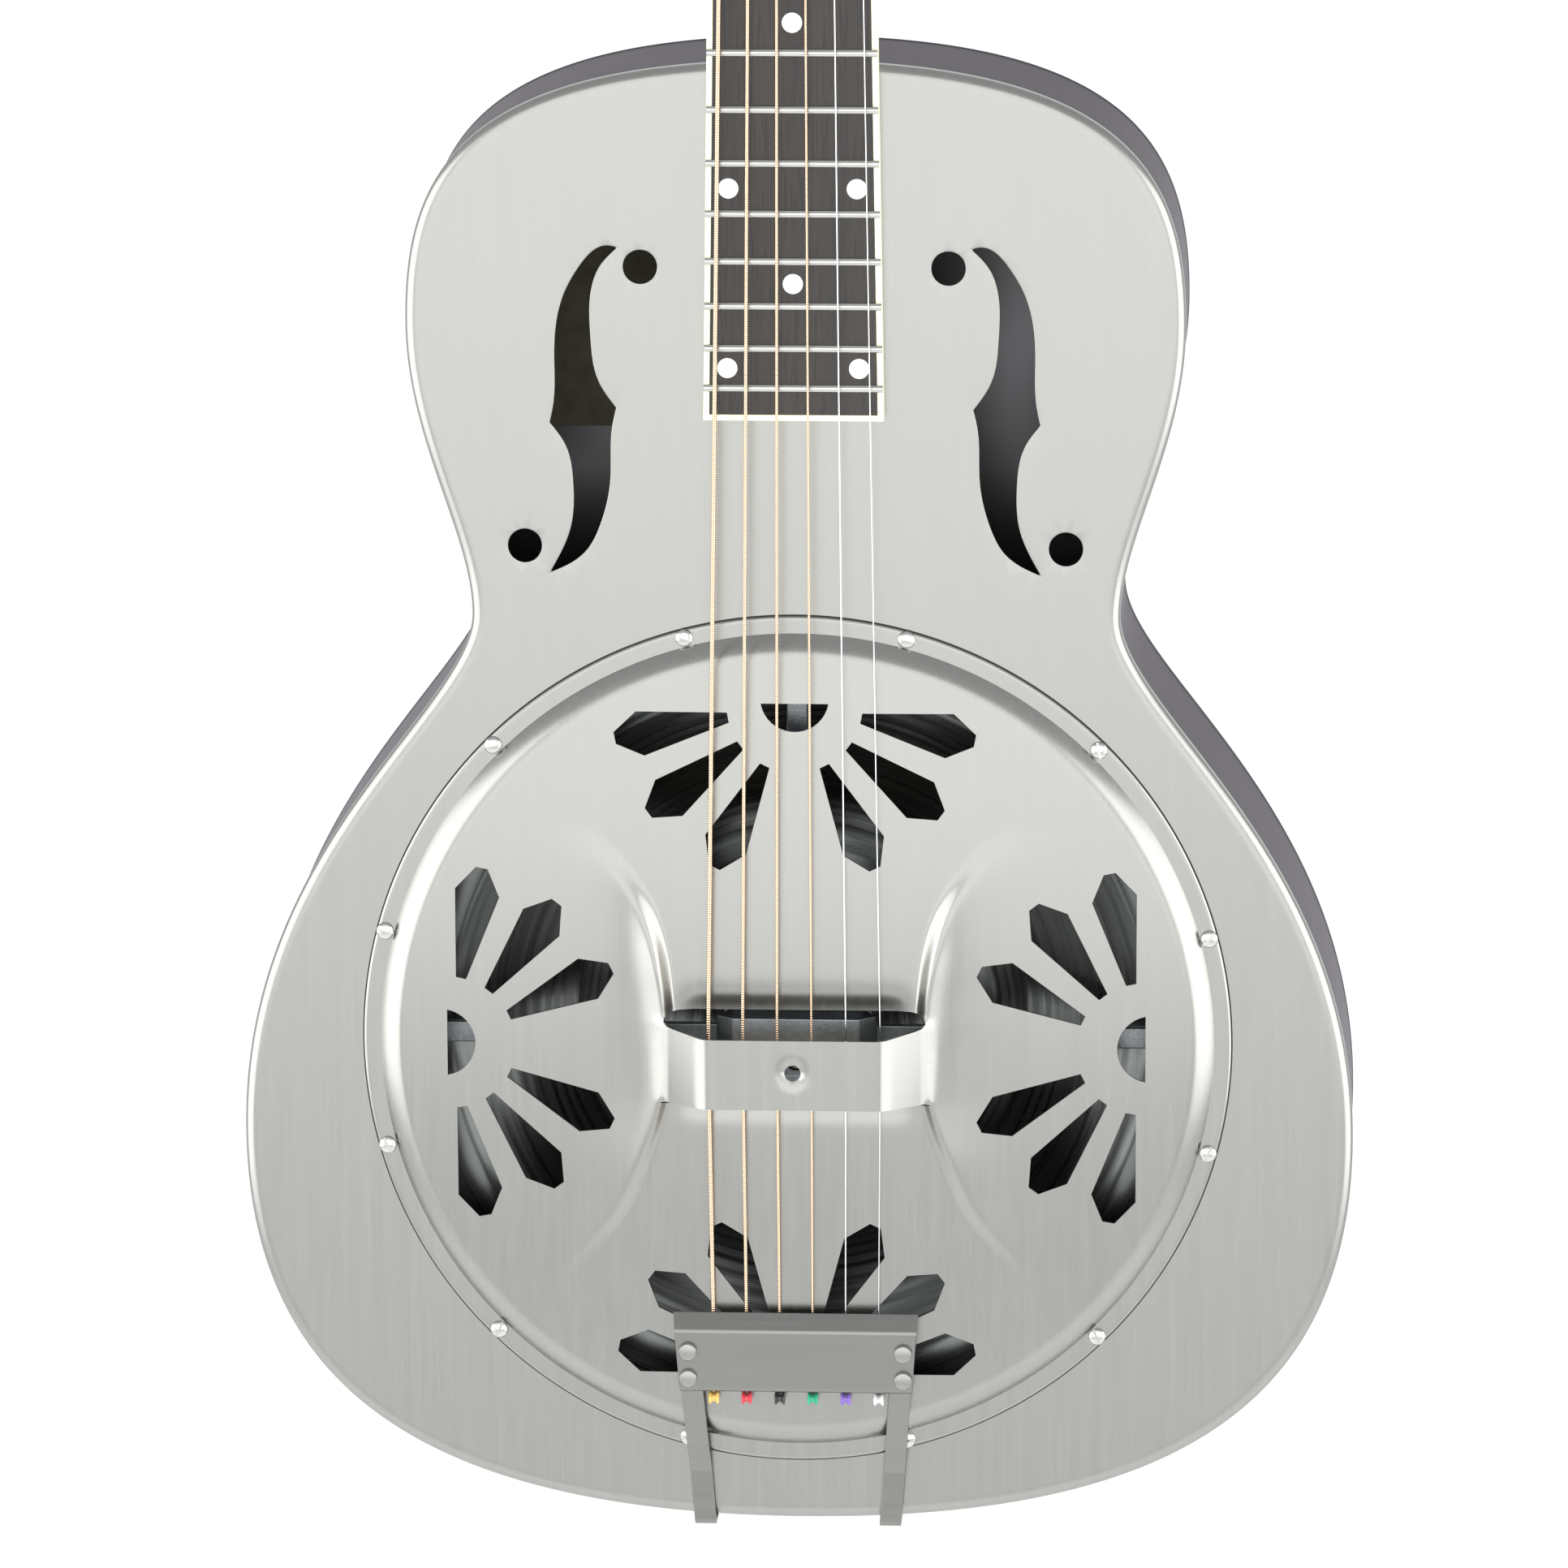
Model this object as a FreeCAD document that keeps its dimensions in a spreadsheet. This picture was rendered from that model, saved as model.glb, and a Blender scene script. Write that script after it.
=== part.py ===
"""Resonator guitar: metal body, spun cone and spider, pressed cover plate, wooden neck, geared tuners.

The guitar stands upright. X runs across the strings with the treble side at +X, Y runs from front
to back, Z runs up the neck. The origin is where a wall hanger holds the neck, just above the nut,
on the plane where the fingerboard is glued. The front plate of the body lies in the plane y = 0.
"""
import FreeCAD
import Part
import math
import os
import Sketcher
from FreeCAD import Placement, Rotation, Vector

doc = FreeCAD.newDocument("resonator_guitar")
sheet = doc.addObject("Spreadsheet::Sheet", "Sizes")

SIZES = [
    # scale and body
    ("scale_length", 635.0, "nut to saddle"),
    ("nut_gap", 12.0, "hanger origin down to the fingerboard end of the nut"),
    ("body_overhang", 3.7, "12th fret down to the neck end of the body"),
    ("body_length", 472.0, "body, neck end to tail"),
    ("upper_bout", 245.0, "full width of the upper bout"),
    ("waist_width", 204.6, "full width of the waist"),
    ("lower_bout", 353.8, "full width of the lower bout"),
    ("upper_drop", 83.0, "body top down to the widest upper bout"),
    ("waist_drop", 176.0, "body top down to the waist"),
    ("lower_drop", 345.0, "body top down to the widest lower bout"),
    ("depth_neck", 62.0, "body depth at the neck"),
    ("depth_tail", 82.0, "body depth at the tail"),
    ("skin", 1.2, "body sheet thickness"),
    ("rim_depth", 6.0, "turned-down rim of the front plate"),
    ("rim_round", 2.5, "outer rounding of the front plate rim"),
    ("fhole_length", 104.0, "sound hole, tip to tip"),
    ("fhole_width", 21.7, "sound hole, side to side"),
    ("fhole_offset", 66.3, "centre line to sound hole centre"),
    ("fhole_height", 203.6, "saddle line up to sound hole centre"),
    ("vent_radius", 5.3, "round holes beside the sound holes"),
    # cover plate
    ("cover_radius", 138.0, "cover plate outside radius"),
    ("cover_sheet", 1.0, "cover plate thickness"),
    ("cover_flange", 5.4, "flat flange width"),
    ("cover_rise_run", 5.1, "width of the sloping rise"),
    ("cover_rise", 5.0, "height where the rise meets the dome"),
    ("cover_dome", 9.5, "height of the dome at its centre"),
    ("screw_inset", 2.5, "cover plate edge in to the screw circle"),
    ("cover_screw_count", 12.0, "screws round the cover"),
    ("screw_shank", 1.5, "cover screw shank radius"),
    ("screw_head", 2.8, "cover screw head radius"),
    ("petal_fan", 110.5, "cover centre to the point the petals fan from"),
    ("petal_near", 21.5, "fan point to the near end of a petal"),
    ("petal_wide", 50.3, "fan point to the widest part of a petal"),
    ("petal_far", 58.0, "fan point to the tip of a petal"),
    ("moon_half", 10.7, "half width of the half-moon cutout"),
    ("moon_depth", 9.0, "depth of the half-moon cutout"),
    ("mouth_half", 41.8, "half width of the string opening"),
    ("mouth_top", 12.2, "string opening above the saddle line"),
    ("mouth_bottom", 18.2, "string opening below the saddle line"),
    ("rest_height", 25.0, "hand rest above the front plate"),
    ("rest_half", 29.0, "half width of the flat of the hand rest"),
    ("rest_top", 6.2, "hand rest edge above the saddle line"),
    ("rest_bottom", 16.4, "hand rest edge below the saddle line"),
    ("rest_hole", 2.6, "radius of the screwdriver hole in the hand rest"),
    ("screw_drop", 4.5, "saddle line down to the tension screw"),
    # resonator
    ("cover_overlap", 14.0, "cover plate edge past the inside of the sound well"),
    ("ledge_depth", 18.0, "front plate down to the cone ledge"),
    ("ledge_width", 9.0, "width of the cone ledge"),
    ("cone_gap", 0.5, "cone rim to sound well wall"),
    ("cone_sheet", 1.0, "cone thickness"),
    ("cone_valley", 38.0, "front plate down to the cone valley"),
    ("spider_leg", 6.7, "spider leg width"),
    ("spider_legs", 8.0, "number of spider legs"),
    ("bar_half", 22.0, "half width of the bridge bar"),
    ("saddle_height", 14.2, "string centre above the front plate at the saddle"),
    ("saddle_thick", 3.0, "saddle thickness"),
    ("tension_radius", 2.0, "tension screw radius"),
    ("turn_gap", 0.15, "radial clearance of a turning shaft in its bore"),
    # tailpiece
    ("tail_fold", 92.2, "saddle line down to the tailpiece fold"),
    ("tail_edge", 86.3, "saddle line down to the tailpiece front edge"),
    ("tail_lip", 112.0, "saddle line down to the tailpiece lip"),
    ("tail_half_top", 38.7, "tailpiece half width at the fold"),
    ("tail_half_lip", 37.2, "tailpiece half width at the lip"),
    ("tail_sheet", 1.3, "tailpiece sheet thickness"),
    ("strap_width", 7.0, "tailpiece strap width"),
    ("strap_sheet", 1.4, "tailpiece strap thickness"),
    ("strap_x_high", 34.6, "strap centre from the middle at the rivets"),
    ("strap_x_low", 29.6, "strap centre from the middle at the body edge"),
    ("rivet_radius", 2.8, "rivet head radius"),
    ("pin_radius", 3.5, "end pin shank radius"),
    ("pin_head", 7.0, "end pin head radius"),
    ("pin_depth", 48.0, "front plate back to the end pin"),
    # neck and fingerboard
    ("nut_width", 44.45, "fingerboard width at the nut"),
    ("board_width_end", 56.6, "fingerboard width at its body end"),
    ("board_length", 433.5, "fingerboard length"),
    ("board_thick", 6.5, "fingerboard thickness"),
    ("binding", 2.0, "binding width"),
    ("fret_count", 19.0, "number of frets"),
    ("fret_crown", 2.2, "fret crown width"),
    ("fret_height", 1.1, "fret height over the board"),
    ("fret_tang", 0.6, "fret tang width"),
    ("dot_radius", 3.15, "position dot radius"),
    ("dot_share", 0.735, "double dots, share of the half width out from the centre line"),
    ("neck_thick", 20.0, "neck depth at the nut"),
    ("neck_thick_heel", 22.5, "neck depth above the heel"),
    ("heel_depth", 54.0, "heel depth at the body"),
    ("nut_thick", 5.0, "nut thickness"),
    ("nut_height", 8.6, "nut height over the neck"),
    ("stick_half", 15.0, "half width of the neck stick"),
    ("rod_radius", 2.5, "truss rod radius"),
    ("rod_depth", 8.0, "glue plane down to the truss rod"),
    # headstock and tuners
    ("head_angle", 14.0, "headstock angle in degrees"),
    ("head_length", 176.0, "headstock length"),
    ("head_half", 36.0, "headstock half width"),
    ("head_thick", 14.0, "headstock wood thickness"),
    ("overlay", 1.5, "headstock overlay thickness"),
    ("post_spread", 25.0, "centre line to string posts"),
    ("post_first", 46.0, "nut up to the first post"),
    ("post_pitch", 40.0, "spacing of the posts"),
    ("post_radius", 3.0, "string post radius"),
    ("post_rise", 15.0, "string post above the overlay"),
    ("bushing_wall", 1.4, "bushing wall"),
    ("plate_sheet", 1.2, "tuner plate thickness"),
    ("gear_teeth", 14.0, "teeth of a tuner gear"),
    ("gear_module", 0.8, "gear module"),
    ("gear_width", 2.4, "gear width"),
    ("worm_core", 2.0, "worm shaft radius"),
    ("worm_depth", 1.5, "worm thread height"),
    ("mesh_gap", 0.3, "gear tip to worm core"),
    ("button_half", 7.5, "tuner button half length along its shaft"),
    # strings
    ("nut_spread", 36.2, "outer strings apart at the nut"),
    ("saddle_spread", 54.6, "outer strings apart at the saddle"),
    ("tail_spread", 52.8, "outer strings apart at the tailpiece"),
    ("nut_string", 8.2, "string centre above the glue plane at the nut"),
    ("ball_radius", 2.0, "ball end radius"),
]

for row, (alias, number, note) in enumerate(SIZES, start=1):
    sheet.set("A%d" % row, note)
    sheet.set("B%d" % row, str(number))
    sheet.setAlias("B%d" % row, alias)
doc.recompute()


class Size:
    """A length together with the spreadsheet formula that it comes from."""

    def __init__(self, value, text=None):
        self.value = float(value)
        self.text = "(%.9g)" % self.value if text is None else text

    def __add__(self, other):
        other = as_size(other)
        return Size(self.value + other.value, "(%s + %s)" % (self.text, other.text))

    def __sub__(self, other):
        other = as_size(other)
        return Size(self.value - other.value, "(%s - %s)" % (self.text, other.text))

    def __mul__(self, other):
        other = as_size(other)
        return Size(self.value * other.value, "(%s * %s)" % (self.text, other.text))

    def __truediv__(self, other):
        other = as_size(other)
        return Size(self.value / other.value, "(%s / %s)" % (self.text, other.text))

    def __neg__(self):
        return Size(-self.value, "(-1 * %s)" % self.text)

    def __radd__(self, other):
        return as_size(other) + self

    def __rsub__(self, other):
        return as_size(other) - self

    def __rmul__(self, other):
        return as_size(other) * self

    def __float__(self):
        return self.value


def as_size(value):
    return value if isinstance(value, Size) else Size(value)


def size(alias):
    return Size(getattr(sheet, alias), "Sizes.%s" % alias)


def bind(item, prop, value):
    """Tie a property of an object to its spreadsheet formula."""
    item.setExpression(prop, as_size(value).text)


def place(item, x=0, y=0, z=0):
    for axis, value in (("x", x), ("y", y), ("z", z)):
        bind(item, "Placement.Base." + axis, value)


# ---- solids ----------------------------------------------------------------------------------
def box(x0, x1, y0, y1, z0, z1):
    """Box between two corners."""
    item = doc.addObject("Part::Box", "box")
    bind(item, "Length", as_size(x1) - x0)
    bind(item, "Width", as_size(y1) - y0)
    bind(item, "Height", as_size(z1) - z0)
    place(item, x0, y0, z0)
    return item


TURN = {"x": Rotation(Vector(0, 1, 0), 90), "y": Rotation(Vector(1, 0, 0), -90), "z": Rotation()}


def rod(axis, radius, start, end, x=0, y=0, z=0):
    """Cylinder along an axis from start to end; the two other coordinates place it."""
    item = doc.addObject("Part::Cylinder", "rod")
    item.Placement = Placement(Vector(), TURN[axis])
    bind(item, "Radius", radius)
    bind(item, "Height", as_size(end) - start)
    where = {"x": x, "y": y, "z": z}
    where[axis] = start
    place(item, where["x"], where["y"], where["z"])
    return item


def wire_through(stops, radius):
    """Round wire that runs straight from stop to stop, mitred where it bends."""
    path = doc.addObject("Part::Feature", "path")
    path.Shape = Part.makePolygon(stops)
    section = doc.addObject("Part::Circle", "section")
    bind(section, "Radius", radius)
    section.Placement = Placement(stops[0], Rotation(Vector(0, 0, 1), stops[1] - stops[0]))
    item = doc.addObject("Part::Sweep", "wire")
    item.Sections = [section]
    item.Spine = (path, [])
    item.Solid = True
    item.Transition = "Right corner"
    return item


def ball(centre, radius):
    item = doc.addObject("Part::Sphere", "ball")
    bind(item, "Radius", radius)
    item.Placement = Placement(centre, Rotation())
    return item


def fuse(*items):
    item = doc.addObject("Part::MultiFuse", "fuse")
    item.Shapes = list(items)
    return item


def cut(base, *tools):
    item = doc.addObject("Part::Cut", "cut")
    item.Base = base
    item.Tool = tools[0] if len(tools) == 1 else fuse(*tools)
    return item


def common(base, tool):
    item = doc.addObject("Part::Common", "common")
    item.Base = base
    item.Tool = tool
    return item


def group(items):
    item = doc.addObject("Part::Compound", "group")
    item.Links = list(items)
    return item


PLANE = {
    "front": Rotation(Vector(1, 0, 0), 90),      # drawn in x, z and pushed along y
    "side": Rotation(Vector(1, 1, 1), 120),      # drawn in y, z and pushed along x
    "cross": Rotation(),                         # drawn in x, y and pushed along z
}
PUSH = {"front": Vector(0, 1, 0), "side": Vector(1, 0, 0), "cross": Vector(0, 0, 1)}


def draw(sketch, loops):
    """Draw closed loops; a loop is a list of points or a list of curves."""
    for loop in loops:
        if isinstance(loop[0], tuple):
            for here, there in zip(loop, loop[1:] + loop[:1]):
                start = Vector(float(here[0]), float(here[1]), 0)
                end = Vector(float(there[0]), float(there[1]), 0)
                sketch.addGeometry(Part.LineSegment(start, end), False)
        else:
            for curve in loop:
                sketch.addGeometry(curve, False)


def prism(plane, loops, start, end):
    """Push closed loops from start to end, square to their drawing plane."""
    sketch = doc.addObject("Sketcher::SketchObject", "sketch")
    sketch.Placement = Placement(Vector(), PLANE[plane])
    draw(sketch, loops)
    axis = {"front": "y", "side": "x", "cross": "z"}[plane]
    bind(sketch, "Placement.Base." + axis, start)
    item = doc.addObject("Part::Extrusion", "prism")
    item.Base = sketch
    item.DirMode = "Custom"
    item.Dir = PUSH[plane]
    bind(item, "LengthFwd", as_size(end) - start)
    item.Solid = True
    return item


def body_sketch(body, role, loops):
    """Sketch on an origin plane of a body."""
    sketch = body.newObject("Sketcher::SketchObject", "sketch")
    plane = [item for item in body.Origin.OriginFeatures if item.Role == role][0]
    sketch.AttachmentSupport = [(plane, "")]
    sketch.MapMode = "FlatFace"
    draw(sketch, loops)
    return sketch


def turned(profile, constrained=True):
    """Body turned about its own Y axis from a profile of (radius, y) points."""
    body = doc.addObject("PartDesign::Body", "body")
    sketch = body_sketch(body, "XY_Plane", [profile])
    if constrained:
        count = len(profile)
        for index in range(count):
            sketch.addConstraint(Sketcher.Constraint("Coincident", index, 2, (index + 1) % count, 1))
        for index, point in enumerate(profile):
            for kind, value in zip(("DistanceX", "DistanceY"), point):
                rule = Sketcher.Constraint(kind, -1, 1, index, 1, float(value))
                number = sketch.addConstraint(rule)
                bind(sketch, "Constraints[%d]" % number, value)
    turn = body.newObject("PartDesign::Revolution", "turn")
    turn.Profile = sketch
    turn.ReferenceAxis = (sketch, ["V_Axis"])
    turn.Angle = 360
    return body


def pocket(body, loops, depth):
    """Cut loops drawn on the XZ plane of a body through it, equally to both sides."""
    feature = body.newObject("PartDesign::Pocket", "pocket")
    feature.Profile = body_sketch(body, "XZ_Plane", loops)
    feature.Length = depth
    feature.Midplane = True
    body.Tip = feature
    return feature


def band(points, thickness):
    """Outline of a bent sheet of a given thickness whose middle line follows the points."""
    points = [Vector(float(a), float(b), 0) for a, b in points]
    half = float(thickness) / 2
    sides = []
    for index, point in enumerate(points):
        before = points[max(index - 1, 0)]
        after = points[min(index + 1, len(points) - 1)]
        first = (point - before) if index else (after - point)
        second = (after - point) if index < len(points) - 1 else first
        normals = [Vector(-leg.y, leg.x, 0).normalize() for leg in (first, second)]
        mitre = (normals[0] + normals[1]).normalize()
        reach = half / mitre.dot(normals[0])
        sides.append((point + mitre * reach, point - mitre * reach))
    left = [(high.x, high.y) for high, low in sides]
    right = [(low.x, low.y) for high, low in sides]
    return left + right[::-1]


def bezier(*points):
    """Smooth curve with its two end points first and last and its handles between."""
    curve = Part.BezierCurve()
    curve.setPoles([Vector(float(a), float(b), 0) for a, b in points])
    return curve.toBSpline()


def spline(points):
    curve = Part.BSplineCurve()
    curve.interpolate([Vector(float(a), float(b), 0) for a, b in points])
    return curve


def arc(start, through, end):
    return Part.Arc(*[Vector(float(a), float(b), 0) for a, b in (start, through, end)])


def line(start, end):
    return Part.LineSegment(*[Vector(float(a), float(b), 0) for a, b in (start, end)])


def circle(x, z, radius):
    return Part.Circle(Vector(float(x), float(z), 0), Vector(0, 0, 1), float(radius))


NODES = []


def node(label, item):
    """Name a finished piece."""
    item.Label = label
    NODES.append(item)
    return item


# ---- heights along the guitar ----------------------------------------------------------------
nut_z = -size("nut_gap")
saddle_z = nut_z - size("scale_length")
body_top_z = nut_z - size("scale_length") / 2 - size("body_overhang")
body_bottom_z = body_top_z - size("body_length")
skin = size("skin")
rim_depth = size("rim_depth")
board_end_z = nut_z - size("board_length")


# ---- body ------------------------------------------------------------------------------------
def body_outline(inset=0):
    """Plan outline: four smooth curves on each side, level at the stations they meet in."""
    upper = size("upper_bout") / 2 - inset
    waist = size("waist_width") / 2 - inset
    lower = size("lower_bout") / 2 - inset
    top_z, bottom_z = body_top_z - inset, body_bottom_z + inset
    upper_z = body_top_z - size("upper_drop")
    waist_z = body_top_z - size("waist_drop")
    lower_z = body_top_z - size("lower_drop")
    right = [
        ((0, top_z), (upper * 0.865, top_z), (upper, upper_z + 46), (upper, upper_z)),
        ((upper, upper_z), (upper, upper_z - 38), (waist, waist_z + 25), (waist, waist_z)),
        ((waist, waist_z), (waist, waist_z - 30), (lower, lower_z + 94), (lower, lower_z)),
        ((lower, lower_z), (lower, lower_z - 75), (lower * 0.768, bottom_z), (0, bottom_z)),
    ]
    curves = [bezier(*stretch) for stretch in right]
    for stretch in reversed(right):
        curves.append(bezier(*[(-1 * as_size(x), z) for x, z in reversed(stretch)]))
    return curves


def shell_prism(start, end, inset=0):
    """Solid body outline between two depths, drawn in by a sheet thickness if asked."""
    return prism("front", [body_outline(inset)], start, end)


def sound_hole(side):
    """Curved sound hole: four sweeps between two tips and two side points."""
    half_w, half_h = size("fhole_width") / 2, size("fhole_length") / 2
    centre_x, centre_z = size("fhole_offset"), saddle_z + size("fhole_height")
    sweeps = [
        [(-0.99, 0.99), (-0.68, 1.0), (0.1, 0.87), (0.62, 0.66), (0.83, 0.36), (0.86, 0.05), (0.98, -0.08)],
        [(0.98, -0.08), (0.52, -0.22), (0.31, -0.45), (0.40, -0.73), (1.0, -1.0)],
        [(1.0, -1.0), (0.40, -0.94), (-0.06, -0.86), (-0.42, -0.72), (-0.75, -0.42), (-0.80, -0.12), (-0.93, 0.01)],
        [(-0.93, 0.01), (-0.43, 0.17), (-0.20, 0.45), (-0.22, 0.72), (-0.50, 0.88), (-0.99, 0.99)],
    ]
    loop = []
    for sweep in sweeps:
        loop.append(spline([(side * (centre_x + half_w * u), centre_z + half_h * w) for u, w in sweep]))
    return loop


def back_depth(z):
    """Depth of the outer face of the leaning back at a height."""
    share = (body_top_z - z) / size("body_length")
    return size("depth_neck") + (size("depth_tail") - size("depth_neck")) * share


def wedge(front, back):
    """Solid wider than the body between two depths, each a function of the height."""
    high, low = body_top_z + 9, body_bottom_z - 9
    half = size("lower_bout") * 0.6
    return prism("side", [[(front(high), high), (back(high), high), (back(low), low), (front(low), low)]], -half, half)


def screw_spots():
    count = int(float(size("cover_screw_count")))
    for index in range(count):
        angle = math.radians(360 / count * (index + 0.5))
        circle_radius = size("cover_radius") - size("screw_inset")
        yield circle_radius * math.cos(angle), circle_radius * math.sin(angle)


def front_plate():
    rounded = doc.addObject("Part::Fillet", "rounded")
    rounded.Base = shell_prism(0, rim_depth)
    doc.recompute()
    front = [i + 1 for i, edge in enumerate(rounded.Base.Shape.Edges) if edge.BoundBox.YMax < 0.01]
    radius = float(size("rim_round"))
    rounded.Edges = [(number, radius, radius) for number in front]
    holes = [sound_hole(1), sound_hole(-1), [circle(0, saddle_z, size("cover_radius") - size("cover_overlap"))]]
    for side in (1, -1):
        for x, rise in ((48.3, 249.0), (85.2, 160.0)):
            holes.append([circle(side * x, saddle_z + rise, size("vent_radius"))])
    for x, z in screw_spots():
        holes.append([circle(x, saddle_z + z, size("screw_shank"))])
    openings = prism("front", holes, -1, rim_depth)
    return cut(rounded, shell_prism(skin, rim_depth + 1, skin), openings)


def sides():
    """Side wall with the slot for the neck tenon and the hole for the end pin."""
    ring = cut(shell_prism(rim_depth, size("depth_tail") + 5), shell_prism(rim_depth - 1, size("depth_tail") + 6, skin))
    wall = common(ring, wedge(lambda z: rim_depth, lambda z: back_depth(z) - skin))
    return cut(wall, box(-20, 20, 12, 48, body_top_z - 8, body_top_z + 5),
               rod("z", size("pin_radius"), body_bottom_z - 5, body_bottom_z + 8, y=size("pin_depth")))


def back_plate():
    outline = shell_prism(rim_depth, size("depth_tail") + 5)
    return common(outline, wedge(lambda z: back_depth(z) - skin, back_depth))


node("body_top", front_plate())
node("body_sides", sides())
node("body_back", back_plate())

# ---- resonator -------------------------------------------------------------------------------
well = size("cover_radius") - size("cover_overlap")
ledge = size("ledge_depth")
sound_well = turned([
    (well, skin), (well + 7, skin), (well + 7, skin * 2), (well + skin, skin * 2), (well + skin, ledge + skin),
    (well - size("ledge_width"), ledge + skin), (well - size("ledge_width"), ledge), (well, ledge)])
place(sound_well, z=saddle_z)
node("sound_well", sound_well)

cone_rim = well - size("cone_gap")
cone_lip = well - size("ledge_width") - 1
valley = size("cone_valley")
sheet_y = size("cone_sheet")
cone = turned([
    (0, ledge - 2), (13, ledge - 2), (64, valley), (72, valley), (cone_lip, ledge), (cone_rim, ledge),
    (cone_rim, ledge - sheet_y), (cone_lip - 1, ledge - sheet_y), (71, valley - sheet_y * 1.2),
    (65, valley - sheet_y * 1.2), (14, ledge - 2 - sheet_y), (0, ledge - 2 - sheet_y)])
place(cone, z=saddle_z)
node("cone", cone)


def spider():
    """Cast bridge: a hub with legs that stand on the cone rim and a bar that holds the saddles."""
    legs = []
    foot_y = ledge - sheet_y
    reach = well - 4.5
    for index in range(int(float(size("spider_legs")))):
        leg = fuse(
            box(12, reach, 8, 12, -size("spider_leg") / 2, size("spider_leg") / 2),
            box(reach - 6, reach, 9, foot_y, -size("spider_leg") / 2, size("spider_leg") / 2))
        turn = 360 / float(size("spider_legs")) * index
        leg.Placement = Placement(Vector(0, 0, float(saddle_z)), Rotation(Vector(0, 1, 0), turn))
        legs.append(leg)
    hub = rod("y", 25, 5, 12, z=saddle_z)
    flare = 3.5
    half = size("bar_half")
    bar = prism("cross", [[(-half, 5.5), (-half - flare, -2), (-half + 2, -7), (half - 2, -7),
                           (half + flare, -2), (half, 5.5)]], saddle_z - 10, saddle_z + 9)
    slot = box(-half + 1.5, half - 1.5, -size("saddle_height") - 1, 0,
               saddle_z - size("saddle_thick") / 2, saddle_z + size("saddle_thick") / 2)
    bore = rod("y", size("tension_radius") + size("turn_gap"), -20, 14, z=saddle_z - size("screw_drop"))
    sink = rod("y", 3.2, -20, -3.5, z=saddle_z - size("screw_drop"))
    return cut(fuse(hub, bar, *legs), slot, bore, sink)


node("spider", spider())

# Two maple saddles meet in the middle of the bar; each carries three strings.
saddle_top = -size("saddle_height") + 0.25
saddle_halves = []
for side in (-1, 1):
    foot = (side * 0.3, side * (float(size("bar_half")) - 1.5))
    crown = (side * 0.3, side * (float(size("saddle_spread")) / 2 + 2.5))
    low, high = min(foot), max(foot)
    blade = prism("cross", [[(foot[0], 0), (foot[1], 0), (foot[1], -7.3), (crown[1], -9), (crown[1], saddle_top),
                             (crown[0], saddle_top)]],
                  saddle_z - size("saddle_thick") / 2, saddle_z + size("saddle_thick") / 2)
    saddle_halves.append(blade)
node("saddles", group(saddle_halves))


def tension_screw():
    z = saddle_z - size("screw_drop")
    head = rod("y", 2.8, -6.2, -3.5, z=z)
    shank = rod("y", size("tension_radius"), -4, ledge - 2 - sheet_y - 0.3, z=z)
    slot = box(-3.2, 3.2, -7, -5.2, z - 0.4, z + 0.4)
    return cut(fuse(head, shank), slot)


node("tension_screw", tension_screw())


# ---- cover plate -----------------------------------------------------------------------------
def petal(turn, fan):
    """Long six-sided cutout, seen from the fan point: narrow, widest near the tip, narrow again."""
    loop = []
    corners = [("petal_near", -4.4), ("petal_wide", -8.2), ("petal_far", -1.9),
               ("petal_far", 1.9), ("petal_wide", 8.2), ("petal_near", 4.4)]
    for name, offset in corners:
        angle = math.radians(180 + fan + offset)
        u = float(size("petal_fan")) + float(size(name)) * math.cos(angle)
        v = float(size(name)) * math.sin(angle)
        loop.append((u * math.cos(turn) - v * math.sin(turn), u * math.sin(turn) + v * math.cos(turn)))
    return loop


def half_moon(turn):
    edge, deep, half = float(size("petal_fan")) + 0.5, float(size("moon_depth")), float(size("moon_half"))

    def spin(u, v):
        return u * math.cos(turn) - v * math.sin(turn), u * math.sin(turn) + v * math.cos(turn)
    return [line(spin(edge, -half), spin(edge, half)), arc(spin(edge, half), spin(edge - deep, 0), spin(edge, -half))]


def mouth():
    """String opening: a slot with rounded corners."""
    half, top, low, round_r = (float(size("mouth_half")), float(size("mouth_top")),
                               -float(size("mouth_bottom")), 5.5)
    lean = round_r * (1 - math.sqrt(0.5))
    return [
        line((-half + round_r, top), (half - round_r, top)),
        arc((half - round_r, top), (half - lean, top - lean), (half, top - round_r)),
        line((half, top - round_r), (half, low)),
        line((half, low), (-half, low)),
        line((-half, low), (-half, top - round_r)),
        arc((-half, top - round_r), (-half + lean, top - lean), (-half + round_r, top)),
    ]


def dome_height(radius):
    """Height of the outer dome surface over the front plate."""
    start = float(size("cover_radius") - size("cover_flange") - size("cover_rise_run"))
    top, low = float(size("cover_dome")), float(size("cover_rise"))
    return top - (top - low) * (radius / start) ** 2


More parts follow.
